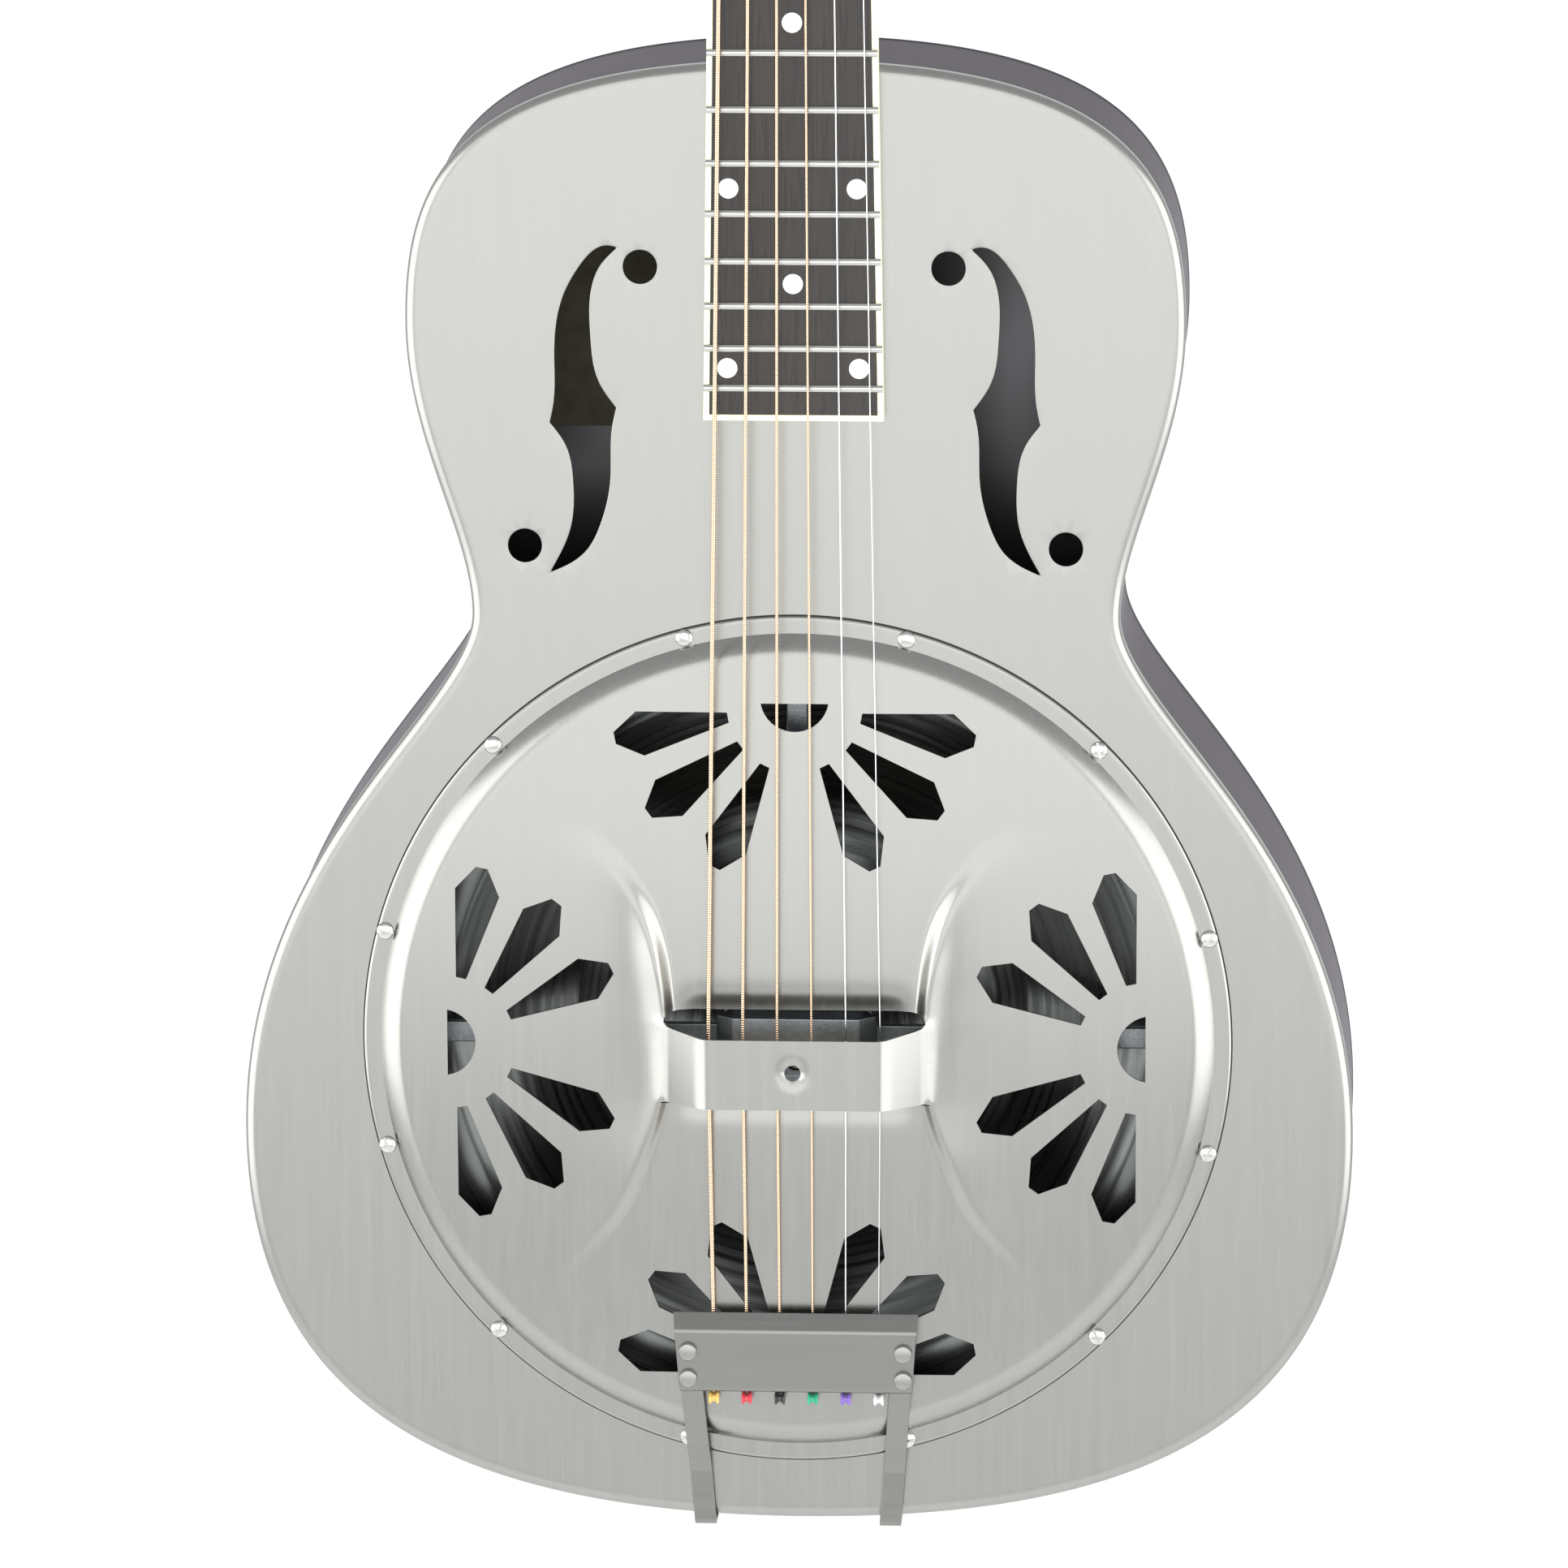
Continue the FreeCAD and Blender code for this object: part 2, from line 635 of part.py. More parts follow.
def crease(side_x, side_z):
    """Pressed ridge that runs from a corner of the string opening out across the dome."""
    half = float(size("mouth_half"))
    end_z = float(size("mouth_top")) if side_z > 0 else float(size("mouth_bottom"))
    lift = 3.0 if side_z > 0 else 2.2

    def on_dome(x, z, over):
        return Vector(side_x * x, -(dome_height(math.hypot(x, z)) + over), float(saddle_z) + side_z * z)
    far = on_dome(half + 21, end_z + 62, -0.55)
    inner = on_dome(half - 8, end_z + 2, -0.55)
    outer = on_dome(half + 6, end_z - 4, -0.55)
    crown = on_dome(half + 1.0, end_z - 1, lift)
    faces = []
    for corners in ((far, inner, outer), (far, inner, crown), (far, outer, crown), (inner, outer, crown)):
        faces.append(Part.Face(Part.makePolygon(list(corners) + [corners[0]])))
    ridge = doc.addObject("Part::Feature", "ridge")
    ridge.Shape = Part.Solid(Part.Shell(faces))
    if ridge.Shape.Volume < 0:
        ridge.Shape = ridge.Shape.reversed()
    return ridge


def cover_plate():
    outer = float(size("cover_radius"))
    rise = outer - float(size("cover_flange"))
    dome = rise - float(size("cover_rise_run"))
    sheet_t = float(size("cover_sheet"))
    high, top = float(size("cover_rise")), float(size("cover_dome"))
    middle = dome / 2
    curves = [
        line((outer, 0), (outer, -sheet_t)),
        line((outer, -sheet_t), (rise, -sheet_t)),
        line((rise, -sheet_t), (dome, -high)),
        arc((dome, -high), (middle, -dome_height(middle)), (0, -top)),
        line((0, -top), (0, -top + sheet_t)),
        arc((0, -top + sheet_t), (middle, -dome_height(middle) + sheet_t), (dome - 0.3, -high + sheet_t)),
        line((dome - 0.3, -high + sheet_t), (rise - 0.9, 0)),
        line((rise - 0.9, 0), (outer, 0)),
    ]
    body = turned(curves, constrained=False)
    loops = []
    for quarter in range(4):
        turn = math.radians(90 * quarter)
        loops += [petal(turn, fan) for fan in (-79, -53, -26, 26, 53, 79)]
        loops.append(half_moon(turn))
    loops += [[circle(x, z, size("screw_shank") + 0.2)] for x, z in screw_spots()]
    loops.append(mouth())
    pocket(body, loops, 60)
    place(body, z=saddle_z)
    rest, flat = float(size("rest_height")) - sheet_t / 2, float(size("rest_half"))
    foot = float(size("mouth_half")) + 1.6
    ground = dome_height(foot) - 0.5
    line_up = [(-foot - 2, -ground), (-foot, -ground - 0.4), (-flat - 8.5, -rest + 5.2), (-flat - 4.2, -rest + 1.4),
               (-flat, -rest)]
    path = line_up + [(-x, y) for x, y in reversed(line_up)]
    strip = prism("cross", [band(path, sheet_t)], saddle_z - size("rest_bottom"), saddle_z + size("rest_top"))
    ridges = [crease(side_x, side_z) for side_x in (-1, 1) for side_z in (-1, 1)]
    hole = rod("y", size("rest_hole"), -40, -15, z=saddle_z - size("screw_drop"))
    trimmed = [cut(ridge, prism("front", [shifted(mouth(), saddle_z)], -40, 10)) for ridge in ridges]
    return cut(fuse(body, strip, *trimmed), hole)


def shifted(curves, z):
    """Copy of drawn curves moved up by z."""
    moved = []
    for curve in curves:
        copy = curve.copy()
        copy.translate(Vector(0, float(z), 0))
        moved.append(copy)
    return moved


node("coverplate", cover_plate())


def cover_screw(x, z):
    """Round-headed slotted screw through the flange."""
    top = -size("cover_sheet")
    head = common(rod("y", size("screw_head"), top - 1.7, top, x=x, z=z),
                  ball(Vector(float(x), float(top) + 2.2, float(z)), size("screw_head") + 0.9))
    shank = rod("y", size("screw_shank"), top - 0.5, 7, x=x, z=z)
    slot = box(x - 4, x + 4, top - 2, top - 1.0, z - 0.35, z + 0.35)
    return cut(fuse(head, shank), slot)


node("coverplate_screws", group([cover_screw(x, saddle_z + z) for x, z in screw_spots()]))

# ---- tailpiece -------------------------------------------------------------------------------
# Each outline point is (y, z); heights over the front plate are negative y.
fold_y, edge_y, lip_y = -14.2, -11.2, -12.0
tail_path = [(edge_y, saddle_z - size("tail_edge")), (fold_y, saddle_z - size("tail_fold")),
             (lip_y, saddle_z - size("tail_lip")), (lip_y + 4.6, saddle_z - size("tail_lip") - 0.6)]


def string_x(index, spread):
    """Place of a string across the guitar, low string first."""
    return spread * (index / 5 - 0.5)


def rivet_spots():
    """Two rivets on each strap: (side, share of the way down the plate)."""
    for side in (-1, 1):
        for share in (0.33, 0.79):
            yield side, share


def plate_point(share):
    """Point on the middle line of the sloping tailpiece plate."""
    y = fold_y + (lip_y - fold_y) * share
    z = saddle_z - size("tail_fold") - (size("tail_lip") - size("tail_fold")) * share
    return y, z


def strap_x(z_drop):
    """Centre of a strap at a height below the saddle line."""
    share = (z_drop - 95) / 65
    return size("strap_x_high") + (size("strap_x_low") - size("strap_x_high")) * share


def tail_plate():
    sheet_t = size("tail_sheet")
    bent = prism("side", [band(tail_path, sheet_t)], -45, 45)
    top, low = size("tail_half_top"), size("tail_half_lip")
    z_top, z_low = saddle_z - size("tail_edge") + 3, saddle_z - size("tail_lip") - 4
    trimmed = common(bent, prism("front", [[(-top, z_top), (top, z_top), (low, z_low), (-low, z_low)]], -30, 0))
    tools = []
    for index in range(6):
        x = string_x(index, size("tail_spread"))
        tools.append(box(x - 1.0, x + 1.0, -10.2, -2, saddle_z - size("tail_lip") - 3, saddle_z - size("tail_lip") + 1.2))
    for side in (-1, 1):
        inner, outer = side * (strap_x(112) - size("strap_width") / 2 - 0.5), side * (size("tail_half_top") + 2)
        low, high = (inner, outer) if side > 0 else (outer, inner)
        tools.append(box(low, high, lip_y + 0.55, -2, saddle_z - size("tail_lip") - 4, saddle_z - size("tail_lip") + 2))
    for side, share in rivet_spots():
        y, z = plate_point(share)
        tools.append(rod("y", 1.5, y - 4, y + 4, x=side * strap_x(size("tail_fold") + 6), z=z))
    return cut(trimmed, *tools)


node("tailpiece_plate", tail_plate())


def tail_bracket():
    """Two straps under the plate, over the body edge and down to a cross plate behind the tail."""
    sheet_t = size("strap_sheet")
    under = float(size("tail_sheet") / 2 + sheet_t / 2) + 0.02
    y_a, z_a = plate_point(0.15)
    y_b, z_b = plate_point(0.86)
    back_z = body_bottom_z - 0.3 - sheet_t / 2
    path = [(y_a + under, z_a), (y_b + under, z_b), (-6.3, saddle_z - 131), (-2.2, saddle_z - 141),
            (-2.2, back_z + 1.2), (-1.0, back_z), (size("pin_depth") + 8, back_z)]
    bent = prism("side", [band(path, sheet_t)], -45, 45)
    half = size("strap_width") / 2
    straps = []
    for side in (-1, 1):
        top, low = strap_x(90), strap_x(165)
        z_top, z_low = saddle_z - 90, body_bottom_z - 6.8
        outline = [(side * (top - half), z_top), (side * (top + half), z_top),
                   (side * (low + half), z_low), (side * (low - half), z_low)]
        straps.append(common(bent, prism("front", [outline], -30, 60)))
    cross = box(-30, 30, size("pin_depth") - 8, size("pin_depth") + 8, back_z - sheet_t / 2, back_z + sheet_t / 2)
    tools = [rod("z", size("pin_radius"), body_bottom_z - 5, body_bottom_z + 5, y=size("pin_depth"))]
    for side, share in rivet_spots():
        y, z = plate_point(share)
        tools.append(rod("y", 1.5, y - 4, y + 4, x=side * strap_x(size("tail_fold") + 6), z=z))
    return cut(fuse(cross, *straps), *tools)


node("tailpiece_bracket", tail_bracket())

rivets = []
for side, share in rivet_spots():
    rivet_y, rivet_z = plate_point(share)
    x = side * strap_x(size("tail_fold") + 6)
    front = rivet_y - size("tail_sheet") / 2
    behind = rivet_y + size("tail_sheet") / 2 + size("strap_sheet")
    rivets.append(fuse(rod("y", size("rivet_radius"), front - 1.6, front - 0.38, x=x, z=rivet_z),
                       rod("y", 1.5, front - 0.5, behind + 1.0, x=x, z=rivet_z),
                       rod("y", 2.2, behind + 0.3, behind + 1.0, x=x, z=rivet_z)))
node("tailpiece_rivets", group(rivets))

node("tailpiece_pad", box(-10.4, 10.4, -8.75, -6.27, saddle_z - 111, saddle_z - 108.2))

end_pin = turned([
    (0, 0), (size("pin_radius"), 0), (size("pin_radius"), 15), (size("pin_radius") + 2, 15.2),
    (size("pin_radius") - 0.4, 17.5), (size("pin_head"), 19.5), (size("pin_head"), 21), (0, 22)])
end_pin.Placement = Placement(Vector(), Rotation(Vector(1, 0, 0), -90))
end_pin.setExpression("Placement.Base.y", size("pin_depth").text)
bind(end_pin, "Placement.Base.z", body_bottom_z - 1.7 + 15)
node("end_pin", end_pin)


# ---- neck ------------------------------------------------------------------------------------
def board_half(drop):
    """Half width of the fingerboard at a distance below the nut."""
    share = as_size(drop) / size("board_length")
    return (size("nut_width") + (size("board_width_end") - size("nut_width")) * share) / 2


def neck_section(z, half, thick):
    """Rounded D section of the neck, flat on the fingerboard side."""
    half, thick = float(half), float(thick)
    sketch = doc.addObject("Sketcher::SketchObject", "section")
    sketch.addGeometry(bezier((half, 0), (half * 0.98, thick * 0.72), (half * 0.62, thick), (0, thick)), False)
    sketch.addGeometry(bezier((0, thick), (-half * 0.62, thick), (-half * 0.98, thick * 0.72), (-half, 0)), False)
    sketch.addGeometry(line((-half, 0), (half, 0)), False)
    bind(sketch, "Placement.Base.z", z)
    return sketch


def loft(sections, ruled=False):
    item = doc.addObject("Part::Loft", "loft")
    item.Sections = sections
    item.Solid = True
    item.Ruled = ruled
    return item


head_place = Placement(Vector(0, 0, float(nut_z + size("nut_thick"))), Rotation(Vector(1, 0, 0), -float(size("head_angle"))))
overlay = size("overlay")
head_back = overlay + size("head_thick")


def head_outline():
    """Plan of the headstock: nut width, flare, gently tapered sides, arched top."""
    nut, half, top = float(size("nut_width")) / 2, float(size("head_half")), float(size("head_length"))
    right = [(nut, 0), (nut + 1.5, 10), (half - 3, 30), (half, 42), (half - 1.5, top - 14)]
    return [
        line((-nut, 0), (nut, 0)),
        spline(right),
        arc(right[-1], (0, top), (-right[-1][0], right[-1][1])),
        spline([(-x, z) for x, z in reversed(right)]),
    ]


def post_spots():
    """Six posts: low string first; three on the bass side going up, three on the treble side coming down."""
    for index in range(6):
        side = -1 if index < 3 else 1
        step = index if index < 3 else 5 - index
        yield side * size("post_spread"), size("post_first") + size("post_pitch") * step


def head_prism(start, end):
    item = prism("front", [head_outline()], start, end)
    return item


def neck():
    shoulder = body_top_z + 42
    top_z = nut_z + size("nut_thick")
    shaft = loft([neck_section(top_z, board_half(0), size("neck_thick")),
                  neck_section(nut_z - 30, board_half(30), size("neck_thick")),
                  neck_section(shoulder, board_half(270), size("neck_thick_heel"))], ruled=True)
    heel = loft([neck_section(shoulder, board_half(270), size("neck_thick_heel")),
                 neck_section(body_top_z + 16, board_half(300), size("heel_depth") * 0.75),
                 neck_section(body_top_z, board_half(318), size("heel_depth"))], ruled=True)
    head = head_prism(overlay, head_back)
    head.Placement = head_place
    bores = [rod("y", size("post_radius") + size("turn_gap") + size("bushing_wall"), -5, 30, x=x, z=z)
             for x, z in post_spots()]
    bores += [rod("y", 1.0, head_back - 0.5, head_back + 1, x=x + spot, z=z + 6.4)
              for x, z in post_spots() for spot in (-8, 8)]
    drill = fuse(*bores)
    drill.Placement = head_place
    rod_top = size("rod_depth") + size("rod_radius")
    channel = box(-3, 3, -1, rod_top, body_top_z + 14, nut_z + 3)
    room = box(-6.5, 6.5, -2, rod_top + 2.5, nut_z + 2, nut_z + 34)
    return cut(fuse(shaft, heel, head), drill, channel, room)


node("neck", neck())

# The stick runs through the body under the cone, from the neck block to the tail.
stick_half = size("stick_half")
node("neck_stick", cut(fuse(
    box(-19.8, 19.8, 12.2, 47.8, body_top_z - 8, body_top_z),
    box(-24, 24, 3, 52, body_top_z - 56, body_top_z - skin - 1.0),
    box(-stick_half, stick_half, 40, 56, body_bottom_z + skin + 0.6, body_top_z - 50)),
    rod("z", size("pin_radius"), body_bottom_z - 1, body_bottom_z + 18, y=size("pin_depth"))))

rod_y = size("rod_depth")
node("truss_rod", rod("z", size("rod_radius"), body_top_z + 16, nut_z + 12, y=rod_y))
truss_nut = cut(rod("z", 4.2, nut_z + 8, nut_z + 20, y=rod_y),
                rod("z", size("rod_radius") + 0.1, nut_z + 7, nut_z + 12.2, y=rod_y),
                prism("cross", [[(2.3 * math.cos(math.radians(60 * k)), 2.3 * math.sin(math.radians(60 * k)) + float(rod_y))
                                 for k in range(6)]], nut_z + 13, nut_z + 21))
node("truss_rod_nut", truss_nut)


# ---- fingerboard -----------------------------------------------------------------------------
def fret_drop(number):
    """Distance of a fret below the nut."""
    return size("scale_length") * (1 - 2 ** (-number / 12))


def board_prism(inward):
    """Tapered board, drawn in by the binding on its sides and body end if asked."""
    half_a, half_b = board_half(0) - inward, board_half(size("board_length")) - inward
    end = board_end_z + inward
    return prism("front", [[(-half_a, nut_z), (half_a, nut_z), (half_b, end), (-half_b, end)]],
                 -size("board_thick"), 0)


def dot_spots():
    """Single dots under 3, 7 and 17, one at 12, and pairs between them, as (x, drop)."""
    for fret in (3, 7, 12, 17):
        yield 0, (fret_drop(fret) + fret_drop(fret - 1)) / 2
    for fret in (5, 9, 15, 19):
        for side in (-1, 1):
            drop = (fret_drop(fret) + fret_drop(fret - 1)) / 2
            yield side * size("dot_share") * board_half(drop), drop


binding = size("binding")
board_top = -size("board_thick")
tang = size("fret_tang")
slots, frets = [], []
for number in range(1, int(float(size("fret_count"))) + 1):
    z = nut_z - fret_drop(number)
    half = board_half(fret_drop(number)) - 0.1
    inner = half - binding - 0.2
    slots.append(box(-half - 1, half + 1, board_top - 1, board_top + 2.0, z - tang / 2, z + tang / 2))
    crown_r = size("fret_crown") * 0.62
    crown = common(box(-half, half, board_top - size("fret_height"), board_top,
                       z - size("fret_crown") / 2, z + size("fret_crown") / 2),
                   rod("x", crown_r, -half, half, y=board_top - size("fret_height") + crown_r, z=z))
    blade = box(-inner, inner, board_top - 0.3, board_top + 1.8, z - tang / 2, z + tang / 2)
    frets.append(fuse(crown, blade))
dots = [rod("y", size("dot_radius"), board_top - 0.02, board_top + 1.5, x=x, z=nut_z - drop) for x, drop in dot_spots()]
dot_holes = [rod("y", size("dot_radius"), board_top - 1, board_top + 1.5, x=x, z=nut_z - drop) for x, drop in dot_spots()]

core = board_prism(binding)
node("fingerboard", cut(core, *(slots + dot_holes)))
node("fingerboard_binding", cut(board_prism(0), board_prism(binding)))
node("frets", group(frets))
node("position_dots", group(dots))

nut_grooves = []
STRING_RADII = (0.70, 0.56, 0.46, 0.37, 0.23, 0.18)
for index, radius in enumerate(STRING_RADII):
    x = string_x(index, size("nut_spread"))
    nut_grooves.append(box(x - radius - 0.05, x + radius + 0.05, -size("nut_height") - 1, -size("nut_string") + radius + 0.03,
                           nut_z - 1, nut_z + size("nut_thick") + 1))
nut_half = size("nut_width") / 2
nut_block = prism("side", [[(0, nut_z), (-size("nut_height"), nut_z), (-size("nut_height") + 1.2, nut_z + size("nut_thick")),
                            (0, nut_z + size("nut_thick"))]], -nut_half, nut_half)
node("nut", cut(nut_block, *nut_grooves))


# ---- headstock fittings ----------------------------------------------------------------------
def in_head(item):
    item.Placement = head_place
    return item


cover_outline = [(-9, 4), (9, 4), (7.5, 14), (4.5, 30), (0, 36), (-4.5, 30), (-7.5, 14)]
overlay_piece = cut(head_prism(0, overlay),
                    fuse(*[rod("y", size("post_radius") + size("turn_gap") + size("bushing_wall"), -5, 30, x=x, z=z)
                           for x, z in post_spots()]),
                    box(-6.5, 6.5, -3, 5, 1, 27),
                    *[rod("y", 0.8, -1, 3, x=x, z=z) for x, z in ((0, 32.5), (-7.4, 6.4), (7.4, 6.4))])
node("headstock_overlay", in_head(overlay_piece))
screw_holes = [rod("y", 0.8, -5, 5, z=z) for z in (32.5,)] + [rod("y", 0.8, -5, 5, x=x, z=6.4) for x in (-7.4, 7.4)]
node("truss_rod_cover", in_head(cut(prism("front", [cover_outline], -1.6, 0), *screw_holes)))
small_screws = []
for x, z in ((0, 32.5), (-7.4, 6.4), (7.4, 6.4)):
    small_screws.append(cut(fuse(rod("y", 1.5, -2.3, -1.6, x=x, z=z), rod("y", 0.8, -2, 1.4, x=x, z=z)),
                            box(x - 2, x + 2, -2.5, -1.9, z - 0.2, z + 0.2)))
node("truss_cover_screws", in_head(group(small_screws)))

post_r = size("post_radius")
bore_r = post_r + size("turn_gap")
bushings = []
for x, z in post_spots():
    bushings.append(cut(fuse(rod("y", bore_r + size("bushing_wall") + 1.8, -1.6, 0, x=x, z=z),
                             rod("y", bore_r + size("bushing_wall"), -1, head_back, x=x, z=z)),
                        rod("y", bore_r, -3, head_back + 1, x=x, z=z)))
node("tuner_bushings", in_head(group(bushings)))

module = size("gear_module")
teeth = int(float(size("gear_teeth")))
pitch = module * math.pi
gear_pitch_r = module * teeth / 2
gear_tip = gear_pitch_r + module * 0.85
gear_root = gear_pitch_r - module * 1.15
worm_drop = gear_tip + size("mesh_gap") + size("worm_core")
plate_back = head_back + size("plate_sheet")
worm_tip = size("worm_core") + size("worm_depth")
mesh_y = plate_back + worm_tip + 0.4
lug_out = 8.6


def tuner_plate(x, z):
    side = -1 if float(x) < 0 else 1
    base = box(x - 10.6, x + 10.6, head_back, plate_back, z - worm_drop - 5, z + 9)
    lugs = [box(x + spot - 1, x + spot + 1, plate_back - 0.5, mesh_y + 3.3, z - worm_drop - 3.4, z - worm_drop + 3.0)
            for spot in (-lug_out, lug_out)]
    tools = [rod("y", bore_r, head_back - 2, plate_back + 2, x=x, z=z),
             rod("x", size("worm_core") + size("turn_gap"), x - 15, x + 15, y=mesh_y, z=z - worm_drop)]
    tools += [rod("y", 1.0, head_back - 1, plate_back + 1, x=x + spot, z=z + 6.4) for spot in (-8, 8)]
    return cut(fuse(base, *lugs), *tools)


node("tuner_plates", in_head(group([tuner_plate(x, z) for x, z in post_spots()])))

plate_screws = []
for x, z in post_spots():
    for spot in (-8, 8):
        here = x + spot
        plate_screws.append(cut(fuse(rod("y", 2.0, plate_back, plate_back + 1.2, x=here, z=z + 6.4),
                                     rod("y", 1.0, head_back - 0.5, plate_back + 0.5, x=here, z=z + 6.4)),
                                box(here - 3, here + 3, plate_back + 0.7, plate_back + 2, z + 6.15, z + 6.65)))
node("tuner_plate_screws", in_head(group(plate_screws)))


def string_post(x, z):
    """Post with a waist for the string, a string hole and a collar that carries the gear."""
    top = -size("post_rise")
    waist_r = post_r - 0.7
    shape = fuse(rod("y", post_r, top, top + 3.5, x=x, z=z),
                 rod("y", waist_r, top + 3, -4.5, x=x, z=z),
                 rod("y", post_r, -5, plate_back + 0.6, x=x, z=z),
                 rod("y", post_r + 1.1, plate_back + 0.25, mesh_y - size("gear_width") / 2, x=x, z=z),
                 rod("y", post_r - 0.8, plate_back, mesh_y + size("gear_width") / 2 + 0.8, x=x, z=z))
    hole = rod("x", 0.9, x - 5, x + 5, y=top + 7.5, z=z)
    return cut(shape, hole)


def tuner_gear(x, z):
    """Spur gear with one tooth pointing at the worm."""
    loop = []
    for tooth in range(teeth):
        middle = -90 + 360 / teeth * tooth
        for radius, offset in ((gear_root, -7.2), (gear_tip, -3.4), (gear_tip, 3.4), (gear_root, 7.2)):
            angle = math.radians(middle + offset)
            loop.append((float(x) + float(radius) * math.cos(angle), float(z) + float(radius) * math.sin(angle)))
    wheel = prism("front", [loop], mesh_y - size("gear_width") / 2, mesh_y + size("gear_width") / 2)
    return cut(wheel, rod("y", post_r - 0.8, mesh_y - 5, mesh_y + 5, x=x, z=z))


def worm_shaft(x, z, side):
    """Shaft along x with a thread that meets the gear and a plain end for the button."""
    turns = 4
    core_r = float(size("worm_core"))
    helix = doc.addObject("Part::Helix", "helix")
    bind(helix, "Pitch", pitch)
    bind(helix, "Height", pitch * turns)
    bind(helix, "Radius", size("worm_core"))
    thread = doc.addObject("Sketcher::SketchObject", "thread")
    thread.Placement = Placement(Vector(), Rotation(Vector(1, 0, 0), 90))
    tip = core_r + float(size("worm_depth"))
    draw(thread, [[(core_r - 0.3, -0.55), (tip, -0.25), (tip, 0.25), (core_r - 0.3, 0.55)]])
    sweep = doc.addObject("Part::Sweep", "sweep")
    sweep.Sections = [thread]
    sweep.Spine = (helix, [])
    sweep.Solid = True
    sweep.Frenet = True
    # The thread starts facing the gear (+z) and half a pitch beside the tooth that points at it.
    turn = Rotation(Vector(0, 0, 1), Vector(1, 0, 0))
    sideways = Rotation(Vector(0, 1, 0), 90)
    facing = Rotation(Vector(1, 0, 0), 0)
    worm = group([sweep])
    worm.Placement = Placement(Vector(float(x) - float(pitch) * (turns / 2 - 0.5), float(mesh_y), float(z - worm_drop)),
                               facing.multiply(sideways).multiply(Rotation(Vector(0, 0, 1), 180)))
    inner, outer = -lug_out - 1.8, lug_out + 22
    start, end = (x + inner, x + outer) if side > 0 else (x - outer, x - inner)
    shaft = rod("x", size("worm_core"), start, end, y=mesh_y, z=z - worm_drop)
    return fuse(shaft, worm)


def tuner_button(x, z, side):
    """Flat oval button with rounded rims on the outer end of a worm shaft."""
    centre_x, centre_z = float(x + side * (lug_out + 17.5)), float(z - worm_drop)
    half = float(size("button_half"))
    oval = Part.Ellipse(Vector(centre_x, centre_z + half * 1.2, 0), Vector(centre_x + half, centre_z, 0),
                        Vector(centre_x, centre_z, 0))
    button = doc.addObject("Part::Fillet", "button")
    button.Base = prism("front", [[oval]], mesh_y - 3.5, mesh_y + 3.5)
    doc.recompute()
    rims = [i + 1 for i, edge in enumerate(button.Base.Shape.Edges) if edge.BoundBox.YLength < 0.01]
    button.Edges = [(number, 2.6, 2.6) for number in rims]
    start = x + side * (lug_out + 8)
    end = x + side * (lug_out + 22)
    low, high = (start, end) if side > 0 else (end, start)
    return cut(button, rod("x", size("worm_core"), low, high, y=mesh_y, z=z - worm_drop))


STRING_NAMES = ("low_e", "a", "d", "g", "b", "high_e")
for name, (x, z) in zip(STRING_NAMES, post_spots()):
    side = -1 if float(x) < 0 else 1
    node("string_post_" + name, in_head(string_post(x, z)))
    node("tuner_gear_" + name, in_head(tuner_gear(x, z)))
    node("worm_shaft_" + name, in_head(worm_shaft(x, z, side)))
    node("tuner_button_" + name, in_head(tuner_button(x, z, side)))


# ---- strings ---------------------------------------------------------------------------------
def point(x, y, z):
    return Vector(float(x), float(y), float(z))


def string(index, radius):
    """Ball end, straight stretches over the tailpiece edge, saddle and nut, and the pull to the post."""
    x_tail = string_x(index, size("tail_spread"))
    ball_z = saddle_z - size("tail_lip") - 0.6 - size("tail_sheet") / 2 - size("ball_radius") - 0.15
    anchor = point(x_tail, -9.3, ball_z)
    start = point(x_tail, -9.3, ball_z + size("ball_radius"))
    edge = point(x_tail, -9.9 + radius * 0.5, saddle_z - size("tail_edge") - 1)
    bridge = point(string_x(index, size("saddle_spread")), -size("saddle_height") - radius * 0.4 + 0.1, saddle_z)
    x_nut = string_x(index, size("nut_spread"))
    nut_near = point(x_nut, -size("nut_string"), nut_z)
    nut_far = point(x_nut, -size("nut_string") + 0.35, nut_z + size("nut_thick"))
    post_x, post_z = list(post_spots())[index]
    side = -1 if index < 3 else 1
    gap = float(post_r) + radius + 0.4
    last = head_place.multVec(Vector(float(post_x) - side * gap, -6.6, float(post_z) - 1.5))
    wire = wire_through([start, edge, bridge, nut_near, nut_far, last], radius)
    return group([wire, ball_end(anchor)])


def ball_end(centre):
    """Small grooved cylinder across the string."""
    item = doc.addObject("Part::Cylinder", "ball_end")
    bind(item, "Radius", size("ball_radius"))
    item.Height = 3.4
    item.Placement = Placement(centre + Vector(-1.7, 0, 0), TURN["x"])
    return item


for index, (name, radius) in enumerate(zip(STRING_NAMES, STRING_RADII)):
    node("string_" + name, string(index, radius))

doc.recompute()

# ---- check and write -------------------------------------------------------------------------
for item in doc.Objects:
    if "Invalid" in item.State or "Error" in item.State:
        raise RuntimeError("not built: %s %s" % (item.Name, item.Label))
bad = []
for item in NODES:
    shape = item.Shape
    if shape.isNull() or not shape.isValid() or not shape.Solids or min(s.Volume for s in shape.Solids) <= 0:
        bad.append(item.Label)
if bad:
    raise RuntimeError("bad shapes: " + ", ".join(bad))

os.makedirs("parts", exist_ok=True)
for item in NODES:
    item.Shape.exportStep(os.path.join("parts", item.Label + ".step"))
print(len(NODES), "nodes")
